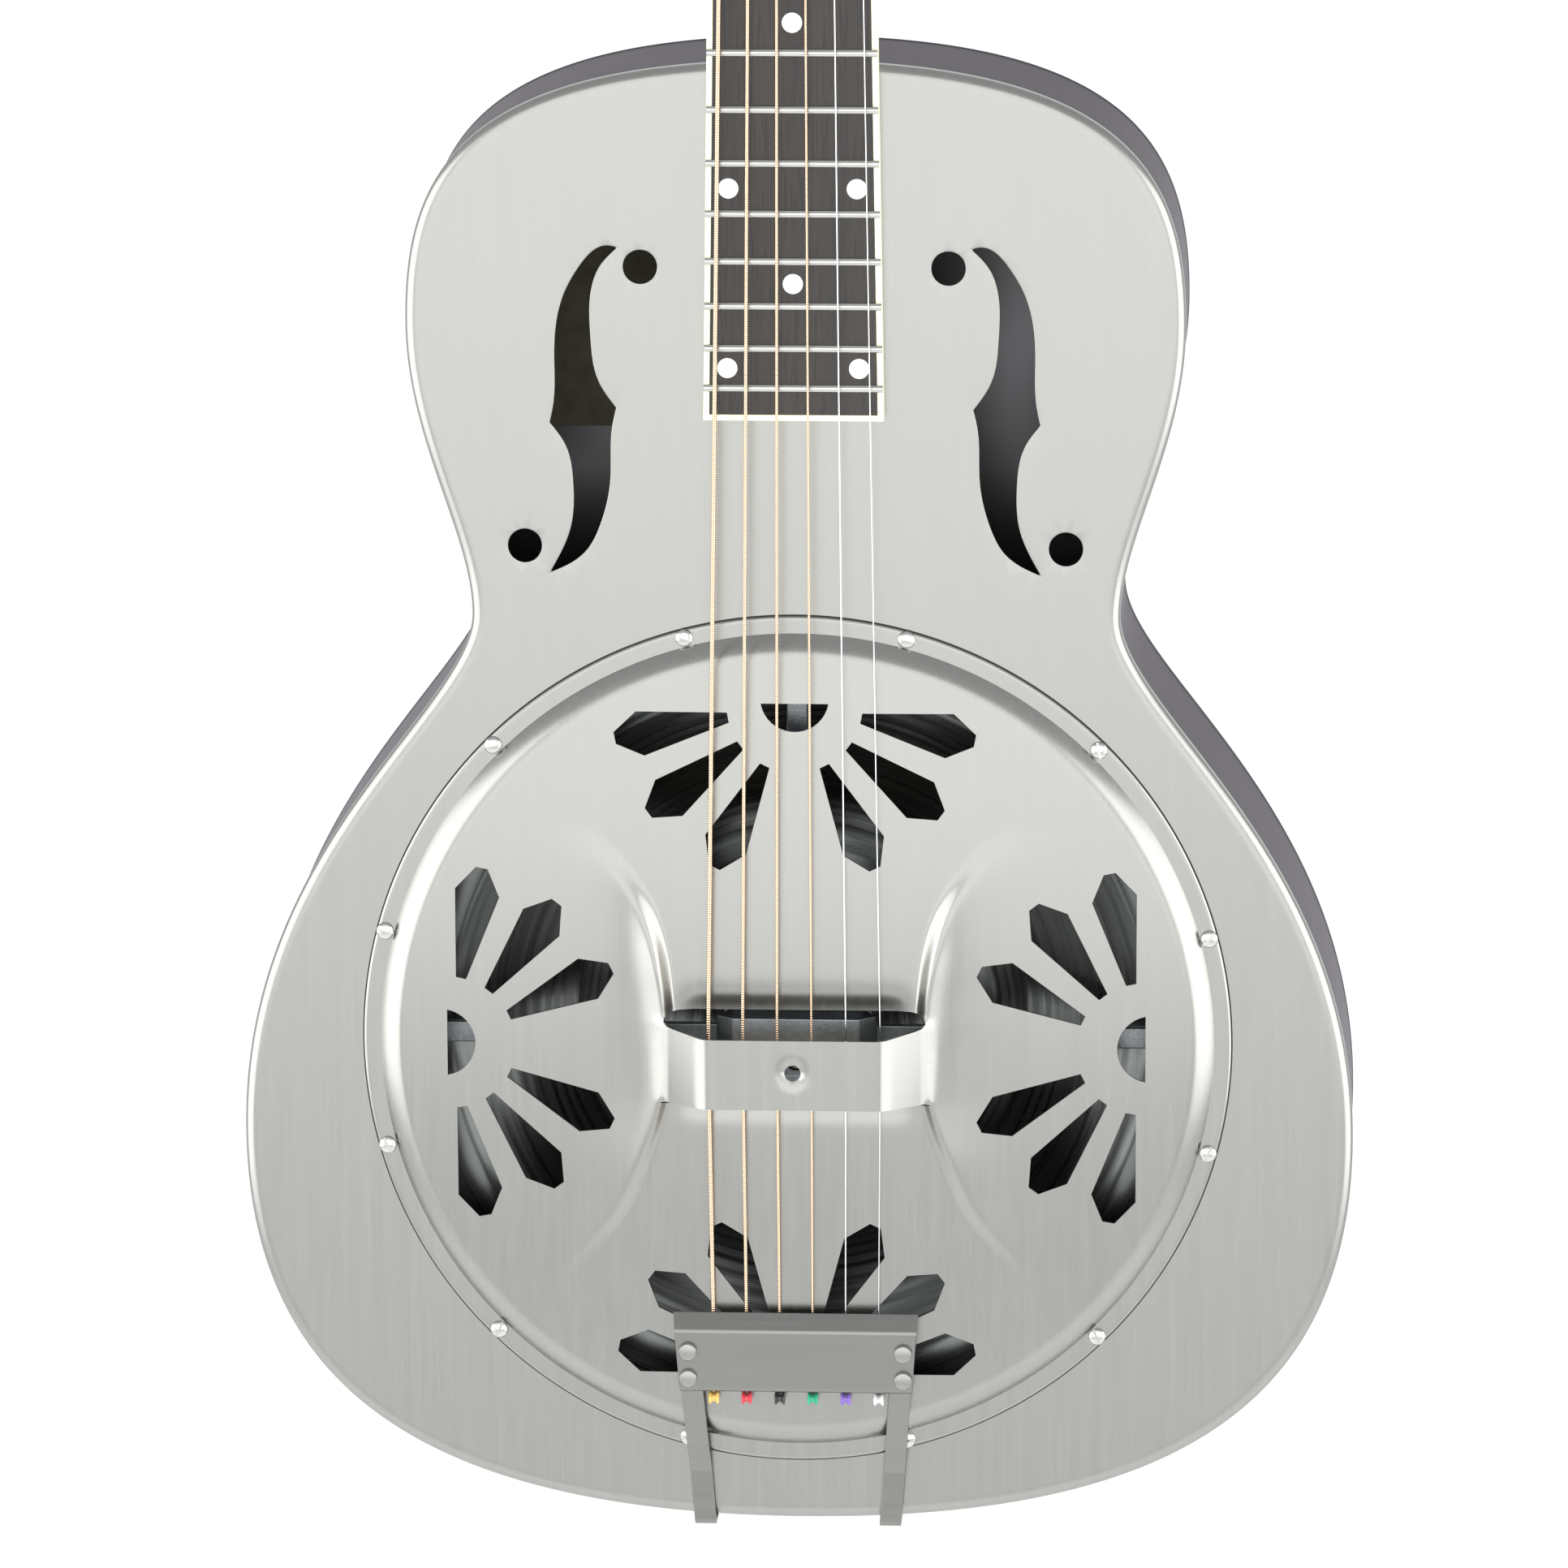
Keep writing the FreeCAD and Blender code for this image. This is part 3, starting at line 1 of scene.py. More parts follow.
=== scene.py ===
# %% [markdown]
# # Resonator guitar
# This lesson dresses a finished CAD model of a metal-bodied resonator guitar. The guitar hangs
# upright from its neck: X runs across the strings, Y from front to back, Z up the neck.
# The CAD model is the frame: it fixes every size and every moving joint. Each piece that we
# make here rides on one of its bodies, and takes its place from the boxes of the CAD nodes.

# %% Load the frame
import math

import bmesh
import bpy
import numpy as np
from mathutils import Matrix, Vector, geometry


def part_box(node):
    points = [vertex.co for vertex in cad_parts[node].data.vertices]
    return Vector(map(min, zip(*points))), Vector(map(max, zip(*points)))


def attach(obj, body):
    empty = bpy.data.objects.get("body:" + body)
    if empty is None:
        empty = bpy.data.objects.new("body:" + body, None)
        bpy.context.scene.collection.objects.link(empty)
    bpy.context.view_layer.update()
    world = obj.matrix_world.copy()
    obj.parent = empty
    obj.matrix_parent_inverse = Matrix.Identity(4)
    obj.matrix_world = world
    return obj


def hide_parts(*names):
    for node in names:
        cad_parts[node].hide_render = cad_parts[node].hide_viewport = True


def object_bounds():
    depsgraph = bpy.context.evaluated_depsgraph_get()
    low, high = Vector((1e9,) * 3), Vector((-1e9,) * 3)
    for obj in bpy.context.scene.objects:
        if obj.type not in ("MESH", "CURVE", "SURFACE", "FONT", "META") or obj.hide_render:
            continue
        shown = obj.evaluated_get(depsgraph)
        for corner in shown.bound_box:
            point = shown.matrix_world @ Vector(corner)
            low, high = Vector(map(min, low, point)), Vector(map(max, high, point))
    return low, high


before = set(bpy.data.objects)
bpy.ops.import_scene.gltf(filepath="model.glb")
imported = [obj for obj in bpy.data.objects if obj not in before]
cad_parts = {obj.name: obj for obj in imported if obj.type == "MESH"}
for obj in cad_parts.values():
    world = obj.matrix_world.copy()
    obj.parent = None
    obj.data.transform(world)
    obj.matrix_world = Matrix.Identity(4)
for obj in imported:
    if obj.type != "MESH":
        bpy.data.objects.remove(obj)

cad_low, cad_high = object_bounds()
MM = 0.001
plate_low, plate_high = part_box("body_top")
saddle_low, saddle_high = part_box("saddles")
saddle_z = (saddle_low.z + saddle_high.z) / 2
nut_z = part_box("nut")[0].z
print("CAD box", [round(v, 4) for v in (*cad_low, *cad_high)])
print("saddle at", round(saddle_z, 4), "nut at", round(nut_z, 4), "scale", round(nut_z - saddle_z, 4))

# %% [markdown]
# ## The camera
# A product picture is taken from far away with a long lens, so that the body keeps its true
# outline. The camera stands three metres off, twelve and a half degrees above the strings, and
# is rolled a fifth of a degree.

# %% Camera
def aim_camera(target, distance, azimuth, elevation, roll, lens):
    a, e = math.radians(azimuth), math.radians(elevation)
    back = Vector((math.sin(a) * math.cos(e), -math.cos(a) * math.cos(e), math.sin(e)))
    right = (-back).cross(Vector((0, 0, 1))).normalized()
    up = right.cross(-back)
    c, s = math.cos(math.radians(roll)), math.sin(math.radians(roll))
    side, top = c * right + s * up, c * up - s * right
    camera = bpy.data.objects.new("camera", bpy.data.cameras.new("camera"))
    camera.matrix_world = Matrix((side, top, back)).transposed().to_4x4()
    camera.location = target + back * distance
    camera.data.lens, camera.data.sensor_width = lens, 36
    camera.data.clip_start, camera.data.clip_end = 0.1, 60
    bpy.context.scene.collection.objects.link(camera)
    bpy.context.scene.camera = camera
    return camera


camera = aim_camera(Vector((-0.0037, -0.001, saddle_z + 0.084)), distance=3.0, azimuth=3.44,
                    elevation=12.48, roll=-0.22, lens=217.9)
print("camera at", [round(v, 3) for v in camera.location])

# %% [markdown]
# ## Floor and light
# Brushed metal shows only what it reflects, so the room matters more than the lamps. A white
# floor far below gives the calm greys, and a sky that darkens upward keeps the side walls deep,
# with their colour also painted darker than the front's as painted shade.
# One big softbox in front makes the top of the plate brighter than its foot, and two tall ones
# beside it draw the bright lines along the rims and creases.

# %% Floor, sky and softboxes
def new_recipe(name):
    material = bpy.data.materials.new(name)
    material.use_nodes = True
    tree = material.node_tree
    return material, tree, tree.nodes.new("ShaderNodeTexCoord").outputs["Object"]


def shader_of(material):
    return material.node_tree.nodes["Principled BSDF"]


def step(tree, kind, inputs, **settings):
    node = tree.nodes.new("ShaderNode" + kind)
    for key, value in settings.items():
        setattr(node, key, value)
    for key, value in inputs.items():
        if isinstance(value, bpy.types.NodeSocket):
            tree.links.new(value, node.inputs[key])
        else:
            node.inputs[key].default_value = value
    return node


def colour_stops(tree, value, stops):
    ramp = step(tree, "ValToRGB", {"Fac": value})
    while len(ramp.color_ramp.elements) < len(stops):
        ramp.color_ramp.elements.new(0.5)
    for element, (place, colour) in zip(ramp.color_ramp.elements, stops):
        element.position, element.color = place, (*colour, 1)
    return ramp.outputs["Color"]


def floor_and_light():
    scene = bpy.context.scene
    scene.view_settings.view_transform = "Standard"
    world = bpy.data.worlds.new("studio")
    world.use_nodes = True
    sky = world.node_tree
    direction = step(sky, "SeparateXYZ", {"Vector": sky.nodes.new("ShaderNodeTexCoord").outputs["Generated"]})
    shade = colour_stops(sky, direction.outputs["Z"], [(0.0, (1, 1, 1)), (0.12, (1, 1, 1)),
                                                       (0.4, (0.88, 0.89, 0.91)), (0.8, (0.75, 0.76, 0.78))])
    sky.links.new(shade, sky.nodes["Background"].inputs["Color"])
    scene.world = world
    bm = bmesh.new()
    bmesh.ops.create_circle(bm, cap_ends=True, radius=26, segments=64)
    mesh = bpy.data.meshes.new("floor")
    bm.to_mesh(mesh)
    bm.free()
    mesh.transform(Matrix.Translation((0, 0, cad_low.z - 1.6)))
    floor = bpy.data.objects.new("floor", mesh)
    scene.collection.objects.link(floor)
    material, tree, coords = new_recipe("pale_floor")
    shader = shader_of(material)
    grain = step(tree, "TexNoise", {"Vector": coords, "Scale": 3.0, "Detail": 3.0})
    tint = step(tree, "MapRange", {"Value": grain.outputs["Fac"], "To Min": 0.86, "To Max": 0.88})
    tree.links.new(step(tree, "CombineColor", {"Red": tint.outputs[0], "Green": tint.outputs[0],
                                               "Blue": tint.outputs[0]}).outputs[0], shader.inputs["Base Color"])
    shader.inputs["Roughness"].default_value = 0.9
    shader.inputs["Specular IOR Level"].default_value = 0.1
    shader.inputs["Emission Color"].default_value = (1, 1, 1, 1)
    shader.inputs["Emission Strength"].default_value = 0.40
    mesh.materials.append(material)
    for name, place, look, size, watts in (
            ("softbox_front", (0.0, -3.8, -0.05), (0, 0, -0.4), (3.6, 3.0), 48),
            ("softbox_left", (-2.45, -1.35, -0.5), (0, 0, -0.6), (3.0, 2.4), 62),
            ("softbox_right", (2.45, -1.35, -0.5), (0, 0, -0.6), (3.0, 2.4), 62)):
        data = bpy.data.lights.new(name, "AREA")
        data.shape, data.size, data.size_y, data.energy = "RECTANGLE", size[0], size[1], watts
        lamp = bpy.data.objects.new(name, data)
        lamp.location = place
        lamp.rotation_euler = (Vector(look) - Vector(place)).to_track_quat("-Z", "Y").to_euler()
        scene.collection.objects.link(lamp)


floor_and_light()

# %% [markdown]
# ## Finishes
# Every finish is built from noise read in the object's own space, so it stays on the part when
# the part turns. Brushed nickel is noise stretched along the brushing: it drives a slight change
# of colour, of gloss and of height. Two sizes of line are mixed, because a real brush leaves
# both fine scratches and wider bands.

# %% Helpers for finishes
def stretched_noise(tree, coords, scale, detail=3.0):
    mapping = step(tree, "Mapping", {"Vector": coords, "Scale": scale})
    return step(tree, "TexNoise", {"Vector": mapping.outputs[0], "Scale": 1.0, "Detail": detail}).outputs["Fac"]


def blend_values(tree, first, second, share):
    return step(tree, "Mix", {0: share, 2: first, 3: second}, data_type="FLOAT").outputs[0]


def spread(tree, value, low, high):
    span = {"Value": value, "From Min": 0.3, "From Max": 0.7, "To Min": low, "To Max": high}
    return step(tree, "MapRange", span).outputs[0]


FINISHES = {}


def settle(name, material, colour, gloss, height, depth, metallic=0.0, coat=0.0):
    """Join colour, roughness and relief to the shader, and keep the finish under its name."""
    tree, shader = material.node_tree, shader_of(material)
    bump = step(tree, "Bump", {"Height": height, "Distance": depth, "Strength": 1.0})
    for socket, made in (("Base Color", colour), ("Roughness", gloss), ("Normal", bump.outputs[0])):
        tree.links.new(made, shader.inputs[socket])
    shader.inputs["Metallic"].default_value = metallic
    shader.inputs["Coat Weight"].default_value = coat
    FINISHES[name] = material


def brushed_metal(name, colour, roughness, across=1500.0, along=26.0, axis=2, contrast=0.026, depth=0.000001):
    """Metal brushed along one axis (0, 1, 2 for X, Y, Z)."""
    material, tree, coords = new_recipe(name)
    fine, wide = [across] * 3, [across * 0.22] * 3
    fine[axis], wide[axis] = along, along * 0.35
    lines = blend_values(tree, stretched_noise(tree, coords, fine), stretched_noise(tree, coords, wide), 0.45)
    low = tuple(c * (1 - contrast) for c in colour)
    high = tuple(min(1, c * (1 + contrast)) for c in colour)
    settle(name, material, colour_stops(tree, lines, [(0.36, low), (0.64, high)]),
           spread(tree, lines, roughness - 0.02, roughness + 0.02), lines, depth, metallic=1.0)


brushed_metal("front_nickel", (0.305, 0.307, 0.290), 0.26)
# Sides, back and sound well are the same nickel as the front; their colour is painted darker and a little purple:
# painted shade and a painted dark reflection.
brushed_metal("side_nickel", (0.150, 0.144, 0.150), 0.36, axis=1, along=40)
brushed_metal("tail_nickel", (0.215, 0.215, 0.203), 0.26, axis=0)
brushed_metal("bright_steel", (0.50, 0.50, 0.48), 0.20, across=3000, along=400)
brushed_metal("fret_metal", (0.46, 0.46, 0.44), 0.20, across=3000, axis=0)
brushed_metal("plain_wire", (0.60, 0.61, 0.62), 0.20, across=6000)
# The purple specular tint on the sides is a painted reflection of a dark room.
shader_of(FINISHES["side_nickel"]).inputs["Specular Tint"].default_value = (0.55, 0.53, 0.56, 1)
print("metals", sorted(FINISHES))

# %% [markdown]
# The cone is spun on a lathe, so its marks run in rings: the noise reads only the distance from
# the middle. The spider is a sand casting and gets a coarse, uneven skin instead.

# %% Spun and cast aluminium
def spun_metal():
    material, tree, coords = new_recipe("spun_aluminium")
    centred = step(tree, "Mapping", {"Vector": coords, "Location": (0, 0, -saddle_z)})
    parts = step(tree, "SeparateXYZ", {"Vector": centred.outputs[0]})
    flat = step(tree, "CombineXYZ", {"X": parts.outputs["X"], "Y": parts.outputs["Z"]})
    radius = step(tree, "VectorMath", {0: flat.outputs[0]}, operation="LENGTH")
    line_in = step(tree, "CombineXYZ", {"X": radius.outputs["Value"]})
    rings = stretched_noise(tree, line_in.outputs[0], (700, 1, 1), 5)
    # The cone's colour is painted almost black: painted shade for the dark under the cover, not the bright metal's own
    # colour.
    colour = colour_stops(tree, rings, [(0.30, (0.10, 0.108, 0.104)), (0.70, (0.16, 0.168, 0.163))])
    settle("spun_aluminium", material, colour, spread(tree, rings, 0.22, 0.36), rings, 0.00003, metallic=1.0)


def cast_metal():
    material, tree, coords = new_recipe("cast_aluminium")
    sand = stretched_noise(tree, coords, (900, 900, 900), 4)
    patches = stretched_noise(tree, coords, (60, 60, 60), 3)
    colour = colour_stops(tree, blend_values(tree, sand, patches, 0.5),
                          [(0.3, (0.16, 0.175, 0.182)), (0.7, (0.28, 0.30, 0.31))])
    settle("cast_aluminium", material, colour, spread(tree, patches, 0.34, 0.5), sand, 0.00006, metallic=1.0)


spun_metal()
cast_metal()
print("aluminium finishes ready")

# %% [markdown]
# Wood is long streaks of two browns with short dark pores laid over them. The fingerboard is
# almost black and dull, the neck is a red brown under a satin coat, and the saddles are pale.

# %% Woods
def wood(name, dark, mid, light, roughness, pore_scale, coat=0.0):
    material, tree, coords = new_recipe(name)
    streaks = stretched_noise(tree, coords, (230, 230, 7), 6)
    pores = stretched_noise(tree, coords, pore_scale, 2)
    colour = colour_stops(tree, streaks, [(0.3, dark), (0.5, mid), (0.72, light)])
    pore_mask = colour_stops(tree, pores, [(0.36, (0.45, 0.43, 0.42)), (0.46, (1, 1, 1))])
    mixed = step(tree, "Mix", {0: 1.0, 6: colour, 7: pore_mask}, data_type="RGBA", blend_type="MULTIPLY")
    settle(name, material, mixed.outputs[2], spread(tree, streaks, roughness - 0.06, roughness + 0.08),
           pores, 0.00006, coat=coat)


wood("rosewood", (0.013, 0.010, 0.008), (0.021, 0.017, 0.014), (0.032, 0.026, 0.022), 0.46, (1500, 1500, 60))
wood("neck_wood", (0.075, 0.022, 0.010), (0.13, 0.042, 0.018), (0.20, 0.075, 0.032), 0.34, (1200, 1200, 45), 0.4)
wood("spruce", (0.42, 0.27, 0.12), (0.55, 0.38, 0.19), (0.64, 0.47, 0.26), 0.6, (900, 900, 30))
wood("maple", (0.50, 0.34, 0.18), (0.62, 0.45, 0.27), (0.70, 0.54, 0.35), 0.5, (900, 900, 60))
print("woods ready")


# %% Plastics, pearl, bone and felt
def soft_plastic(name, dark, light, scale, roughness, coat=0.0, bump=0.00002):
    material, tree, coords = new_recipe(name)
    clouds = stretched_noise(tree, coords, scale, 4)
    settle(name, material, colour_stops(tree, clouds, [(0.32, dark), (0.68, light)]),
           spread(tree, clouds, roughness - 0.05, roughness + 0.06), clouds, bump, coat=coat)


soft_plastic("ivoroid", (0.74, 0.73, 0.50), (0.88, 0.87, 0.66), (300, 300, 18), 0.38)
soft_plastic("pearl", (0.70, 0.73, 0.70), (0.92, 0.91, 0.86), (420, 420, 260), 0.2, 0.5)
soft_plastic("bone", (0.72, 0.68, 0.55), (0.84, 0.81, 0.70), (500, 500, 200), 0.35)
soft_plastic("black_gloss", (0.008, 0.008, 0.009), (0.022, 0.021, 0.022), (60, 60, 60), 0.2, 0.15, 0.00001)
soft_plastic("cream_button", (0.72, 0.66, 0.45), (0.84, 0.79, 0.60), (90, 300, 300), 0.25, 0.4)
soft_plastic("felt", (0.008, 0.008, 0.008), (0.03, 0.03, 0.03), (3500, 3500, 3500), 0.9, 0.0, 0.0002)
soft_plastic("label_paper", (0.13, 0.12, 0.08), (0.19, 0.175, 0.125), (150, 150, 150), 0.8)
soft_plastic("gear_brass", (0.55, 0.38, 0.13), (0.72, 0.52, 0.22), (800, 800, 800), 0.3)
shader_of(FINISHES["gear_brass"]).inputs["Metallic"].default_value = 1.0
shader_of(FINISHES["felt"]).inputs["Sheen Weight"].default_value = 0.4
print(len(FINISHES), "finishes so far")

# %% [markdown]
# The four low strings are wound with bronze wire. The winding is a band pattern along the
# string: it sets the relief of each turn, and its colour is painted darker in the groove between
# turns as painted shade and lighter in the middle of each turn as a painted highlight.

# %% Wound strings and painted ball ends
def wound_metal(name, dark, light, turns_per_metre):
    material, tree, coords = new_recipe(name)
    mapping = step(tree, "Mapping", {"Vector": coords})
    bands = step(tree, "TexWave", {"Vector": mapping.outputs[0], "Scale": turns_per_metre / 20 * math.pi,
                                   "Distortion": 0.3, "Detail": 1.0}, bands_direction="Z")
    # Dark in the grooves and light on the turns: painted shade and a painted highlight.
    settle(name, material, colour_stops(tree, bands.outputs["Fac"], [(0.1, dark), (0.6, light)]),
           spread(tree, bands.outputs["Fac"], 0.34, 0.26), bands.outputs["Fac"], 0.00006, metallic=1.0)


def enamel(name, colour):
    soft_plastic(name, tuple(c * 0.75 for c in colour), colour, (700, 700, 700), 0.3, 0.4)


wound_metal("bronze_wound", (0.44, 0.31, 0.20), (0.68, 0.51, 0.37), 2600)
BALLS = {"ball_gold": (0.75, 0.5, 0.12), "ball_red": (0.6, 0.04, 0.06), "ball_black": (0.02, 0.02, 0.02),
         "ball_green": (0.02, 0.38, 0.2), "ball_purple": (0.22, 0.13, 0.5), "ball_silver": (0.7, 0.7, 0.7)}
for ball_name, ball_colour in BALLS.items():
    enamel(ball_name, ball_colour)
print(len(FINISHES), "finishes")

# %% [markdown]
# ## Helpers for shapes
# Three ways of making sheet metal and turned parts cover most of the guitar: rings of points
# joined into a skin, a flat blank with holes punched in it, and a profile turned round an axis.
# Each finished mesh keeps its place in its points, and its object stays at the origin.

# %% From points to pieces
SLOT_OF = {name: name for name in (
    "side_nickel", "spun_aluminium", "cast_aluminium", "neck_wood", "spruce", "maple", "pearl", "bone",
    "cream_button", "felt", "gear_brass", "bronze_wound")}
SLOT_OF.update(front_nickel="nickel", tail_nickel="nickel", bright_steel="steel", fret_metal="steel",
               plain_wire="plain_steel", rosewood="fingerboard_wood", ivoroid="binding",
               black_gloss="black_plastic", label_paper="binding")


def new_object(name, mesh):
    piece = bpy.data.objects.new(name, mesh)
    bpy.context.scene.collection.objects.link(piece)
    return piece


def mesh_from(name, points, faces):
    mesh = bpy.data.meshes.new(name)
    mesh.from_pydata([tuple(p) for p in points], [], [tuple(f) for f in faces])
    mesh.update()
    return mesh


def apply_modifiers(piece):
    """Turn what the modifiers make into the piece's own plain mesh."""
    graph = bpy.context.evaluated_depsgraph_get()
    made = bpy.data.meshes.new_from_object(piece.evaluated_get(graph))
    piece.modifiers.clear()
    old, piece.data = piece.data, made
    made.name = piece.name
    bpy.data.meshes.remove(old)
    return piece


def reshape(mesh, work):
    """Open a mesh, let a function change it, and write it back."""
    bm = bmesh.new()
    bm.from_mesh(mesh)
    work(bm)
    bm.to_mesh(mesh)
    bm.free()
    return mesh


def outward(bm):
    bmesh.ops.recalc_face_normals(bm, faces=bm.faces)


def weld_facing_front(bm):
    """Merge double points, and turn the outer side of a sheet to the front."""
    bmesh.ops.remove_doubles(bm, verts=bm.verts, dist=1e-6)
    outward(bm)
    if sum(f.normal.y * f.calc_area() for f in bm.faces) > 0:
        bmesh.ops.reverse_faces(bm, faces=bm.faces)


def thicken(piece, thickness, offset=-1):
    wall = piece.modifiers.new("wall", "SOLIDIFY")
    wall.thickness, wall.offset = thickness, offset
    return wall


def smooth(mesh, angle):
    mesh.shade_smooth()
    mesh.set_sharp_from_angle(angle=math.radians(angle))


def dress(piece, finish, body="guitar", replaces=()):
    """Give a piece its finish, let it ride on its body and stand for its CAD nodes."""
    piece.data.materials.clear()
    piece.data.materials.append(FINISHES[finish])
    if replaces:
        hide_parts(*replaces)
    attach(piece, body)
    return piece


def rim_and_bevel(piece, thickness, bevel, angle):
    """Give a skin its sheet thickness, round its cut edges and settle the shading."""
    if thickness:
        wall = thicken(piece, thickness)
        wall.use_even_offset, wall.use_quality_normals = False, True
    edge = piece.modifiers.new("edge", "BEVEL")
    edge.width, edge.segments, edge.limit_method = bevel, 2, "ANGLE"
    edge.angle_limit, edge.use_clamp_overlap = math.radians(angle), False
    apply_modifiers(piece)
    smooth(piece.data, 40)
    weigh = piece.modifiers.new("weigh", "WEIGHTED_NORMAL")
    weigh.keep_sharp = True
    return apply_modifiers(piece)


def ring_faces(rings, count, closed=True):
    faces = []
    for ring in range(rings - 1):
        for i in range(count if closed else count - 1):
            j = (i + 1) % count
            faces.append((ring * count + i, ring * count + j, (ring + 1) * count + j, (ring + 1) * count + i))
    return faces


def turned_mesh(name, profile, steps, centre=(0, 0, 0)):
    """Profile of (radius, y) turned about an axis along Y; ends with no radius close to a point."""
    points, rings = [], []
    for radius, y in profile:
        if radius <= 0:
            rings.append([len(points)])
            points.append((centre[0], centre[1] + y, centre[2]))
        else:
            rings.append(list(range(len(points), len(points) + steps)))
            points += [(centre[0] + radius * math.cos(2 * math.pi * k / steps), centre[1] + y,
                        centre[2] + radius * math.sin(2 * math.pi * k / steps)) for k in range(steps)]
    faces = []
    for a, b in zip(rings, rings[1:]):
        for k in range(steps):
            m = (k + 1) % steps
            quad = [a[k % len(a)], a[m % len(a)], b[m % len(b)], b[k % len(b)]]
            faces.append(tuple(dict.fromkeys(quad)))
    return reshape(mesh_from(name, points, [f for f in faces if len(f) > 2]), outward)


def tube_mesh(name, path, radius, sides):
    """Round wire that follows points, with closed ends."""
    path = [Vector(p) for p in path]
    points, before = [], None
    for i, p in enumerate(path):
        along = (path[min(i + 1, len(path) - 1)] - path[max(i - 1, 0)]).normalized()
        if before is None:
            before = along.orthogonal().normalized()
        before = (before - along * before.dot(along)).normalized()
        other = along.cross(before)
        turns = [2 * math.pi * k / sides for k in range(sides)]
        points += [p + (before * math.cos(a) + other * math.sin(a)) * radius for a in turns]
    faces = ring_faces(len(path), sides)
    faces += [tuple(range(sides))[::-1], tuple(range((len(path) - 1) * sides, len(path) * sides))]
    mesh = reshape(mesh_from(name, points, faces), outward)
    mesh.shade_smooth()
    return mesh


CORNER = 32  # degrees between two faces that make an edge of a CAD node


def refined(node, finish, body="guitar", bevel=0.0):
    """Smooth copy of a CAD node: corners merged, flat faces joined, edges slightly rounded when a bevel is given."""
    bm = bmesh.new()
    bm.from_mesh(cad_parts[node].data)
    bmesh.ops.remove_doubles(bm, verts=bm.verts, dist=2e-6)
    bmesh.ops.dissolve_limit(bm, angle_limit=math.radians(0.6), verts=bm.verts, edges=bm.edges)
    mesh = bpy.data.meshes.new(node)
    bm.to_mesh(mesh)
    bm.free()
    for extra in [a.name for a in mesh.attributes if a.name == "custom_normal"]:
        mesh.attributes.remove(mesh.attributes[extra])
    piece = new_object(node + "_finished", mesh)
    if bevel:
        rim_and_bevel(piece, 0, bevel, CORNER)
    else:
        smooth(mesh, CORNER)
        piece.modifiers.new("weigh", "WEIGHTED_NORMAL").keep_sharp = True
        apply_modifiers(piece)
    return dress(piece, finish, body, (node,))


print("helpers ready")


# %% A blank with holes
def inside(points, loop):
    """True for the points that lie inside a closed loop."""
    x, z = points[:, 0], points[:, 1]
    result = np.zeros(len(points), bool)
    for (x0, z0), (x1, z1) in zip(loop, np.roll(loop, -1, 0)):
        crosses = (z0 > z) != (z1 > z)
        result ^= crosses & (x < (x1 - x0) * (z - z0) / (z1 - z0 + 1e-30) + x0)
    return result


def even_steps(loop, spacing):
    """The same closed loop with points added so that no stretch is longer than the spacing."""
    out = []
    for start, end in zip(loop, np.roll(loop, -1, 0)):
        count = max(1, int(math.ceil(np.linalg.norm(end - start) / spacing)))
        out += [start + (end - start) * k / count for k in range(count)]
    return np.array(out)


def punched_blank(rim, holes, spacing=None, extra=None):
    """Flat blank inside a rim, without the holes; extra points refine it where it will bend sharply."""
    loops = [np.asarray(rim, float)] + [np.asarray(h, float) for h in holes]
    points, edges = [], []
    for loop in loops:
        first = len(points)
        points += [tuple(p) for p in loop]
        edges += [(first + k, first + (k + 1) % len(loop)) for k in range(len(loop))]
    if spacing:
        low, high = loops[0].min(0), loops[0].max(0)
        grid = []
        for row, z in enumerate(np.arange(low[1], high[1], spacing * 0.866)):
            xs = np.arange(low[0] + (row % 2) * spacing / 2, high[0], spacing)
            grid.append(np.stack([xs, np.full_like(xs, z)], 1))
        batches = [(np.concatenate(grid), spacing * 0.45)]
        if extra is not None:
            batches.insert(0, (extra, spacing * 0.2))
        for batch, gap in batches:
            keep = inside(batch, loops[0])
            for loop in loops[1:]:
                keep &= ~inside(batch, loop)
            batch, border = batch[keep], np.array(points)
            near = np.concatenate([np.sqrt(((batch[k:k + 1000, None] - border[None]) ** 2).sum(2)).min(1)
                                   for k in range(0, len(batch), 1000)])
            points += [tuple(p) for p in batch[near > gap]]
    made = geometry.delaunay_2d_cdt([Vector(p) for p in points], edges, [], 0, 1e-9)
    flat = np.array([tuple(p) for p in made[0]])
    faces = np.array([tuple(f) for f in made[2]])
    middle = flat[faces].mean(1)
    keep = inside(middle, loops[0])
    for loop in loops[1:]:
        keep &= ~inside(middle, loop)
    faces = faces[keep]
    a, b, c = flat[faces[:, 0]], flat[faces[:, 1]], flat[faces[:, 2]]
    turn = (b - a)[:, 0] * (c - a)[:, 1] - (b - a)[:, 1] * (c - a)[:, 0]
    faces[turn < 0] = faces[turn < 0][:, ::-1]
    return flat, faces


def circle_loop(x, z, radius, count=40):
    angles = np.arange(count) * 2 * math.pi / count
    return np.stack([x + radius * np.cos(angles), z + radius * np.sin(angles)], 1)


print("blank cutter ready")

# %% [markdown]
# ## The body outline
# Four smooth curves make each half of the outline: shoulder, waist, flank and tail. They meet
# where the outline runs straight down, so no corner shows. Insetting the outline along its
# normals gives the rings for the rolled rim.

# %% Outline rings
half_width = plate_high.x
body_top_z, body_low_z = plate_high.z, plate_low.z
UPPER, WAIST = half_width * 0.69248, half_width * 0.57829
UPPER_Z, WAIST_Z, LOWER_Z = body_top_z - 0.083, body_top_z - 0.176, body_top_z - 0.345
DEPTH_NECK, DEPTH_TAIL = 0.062, 0.082
BODY_SHEET = 1.1 * MM


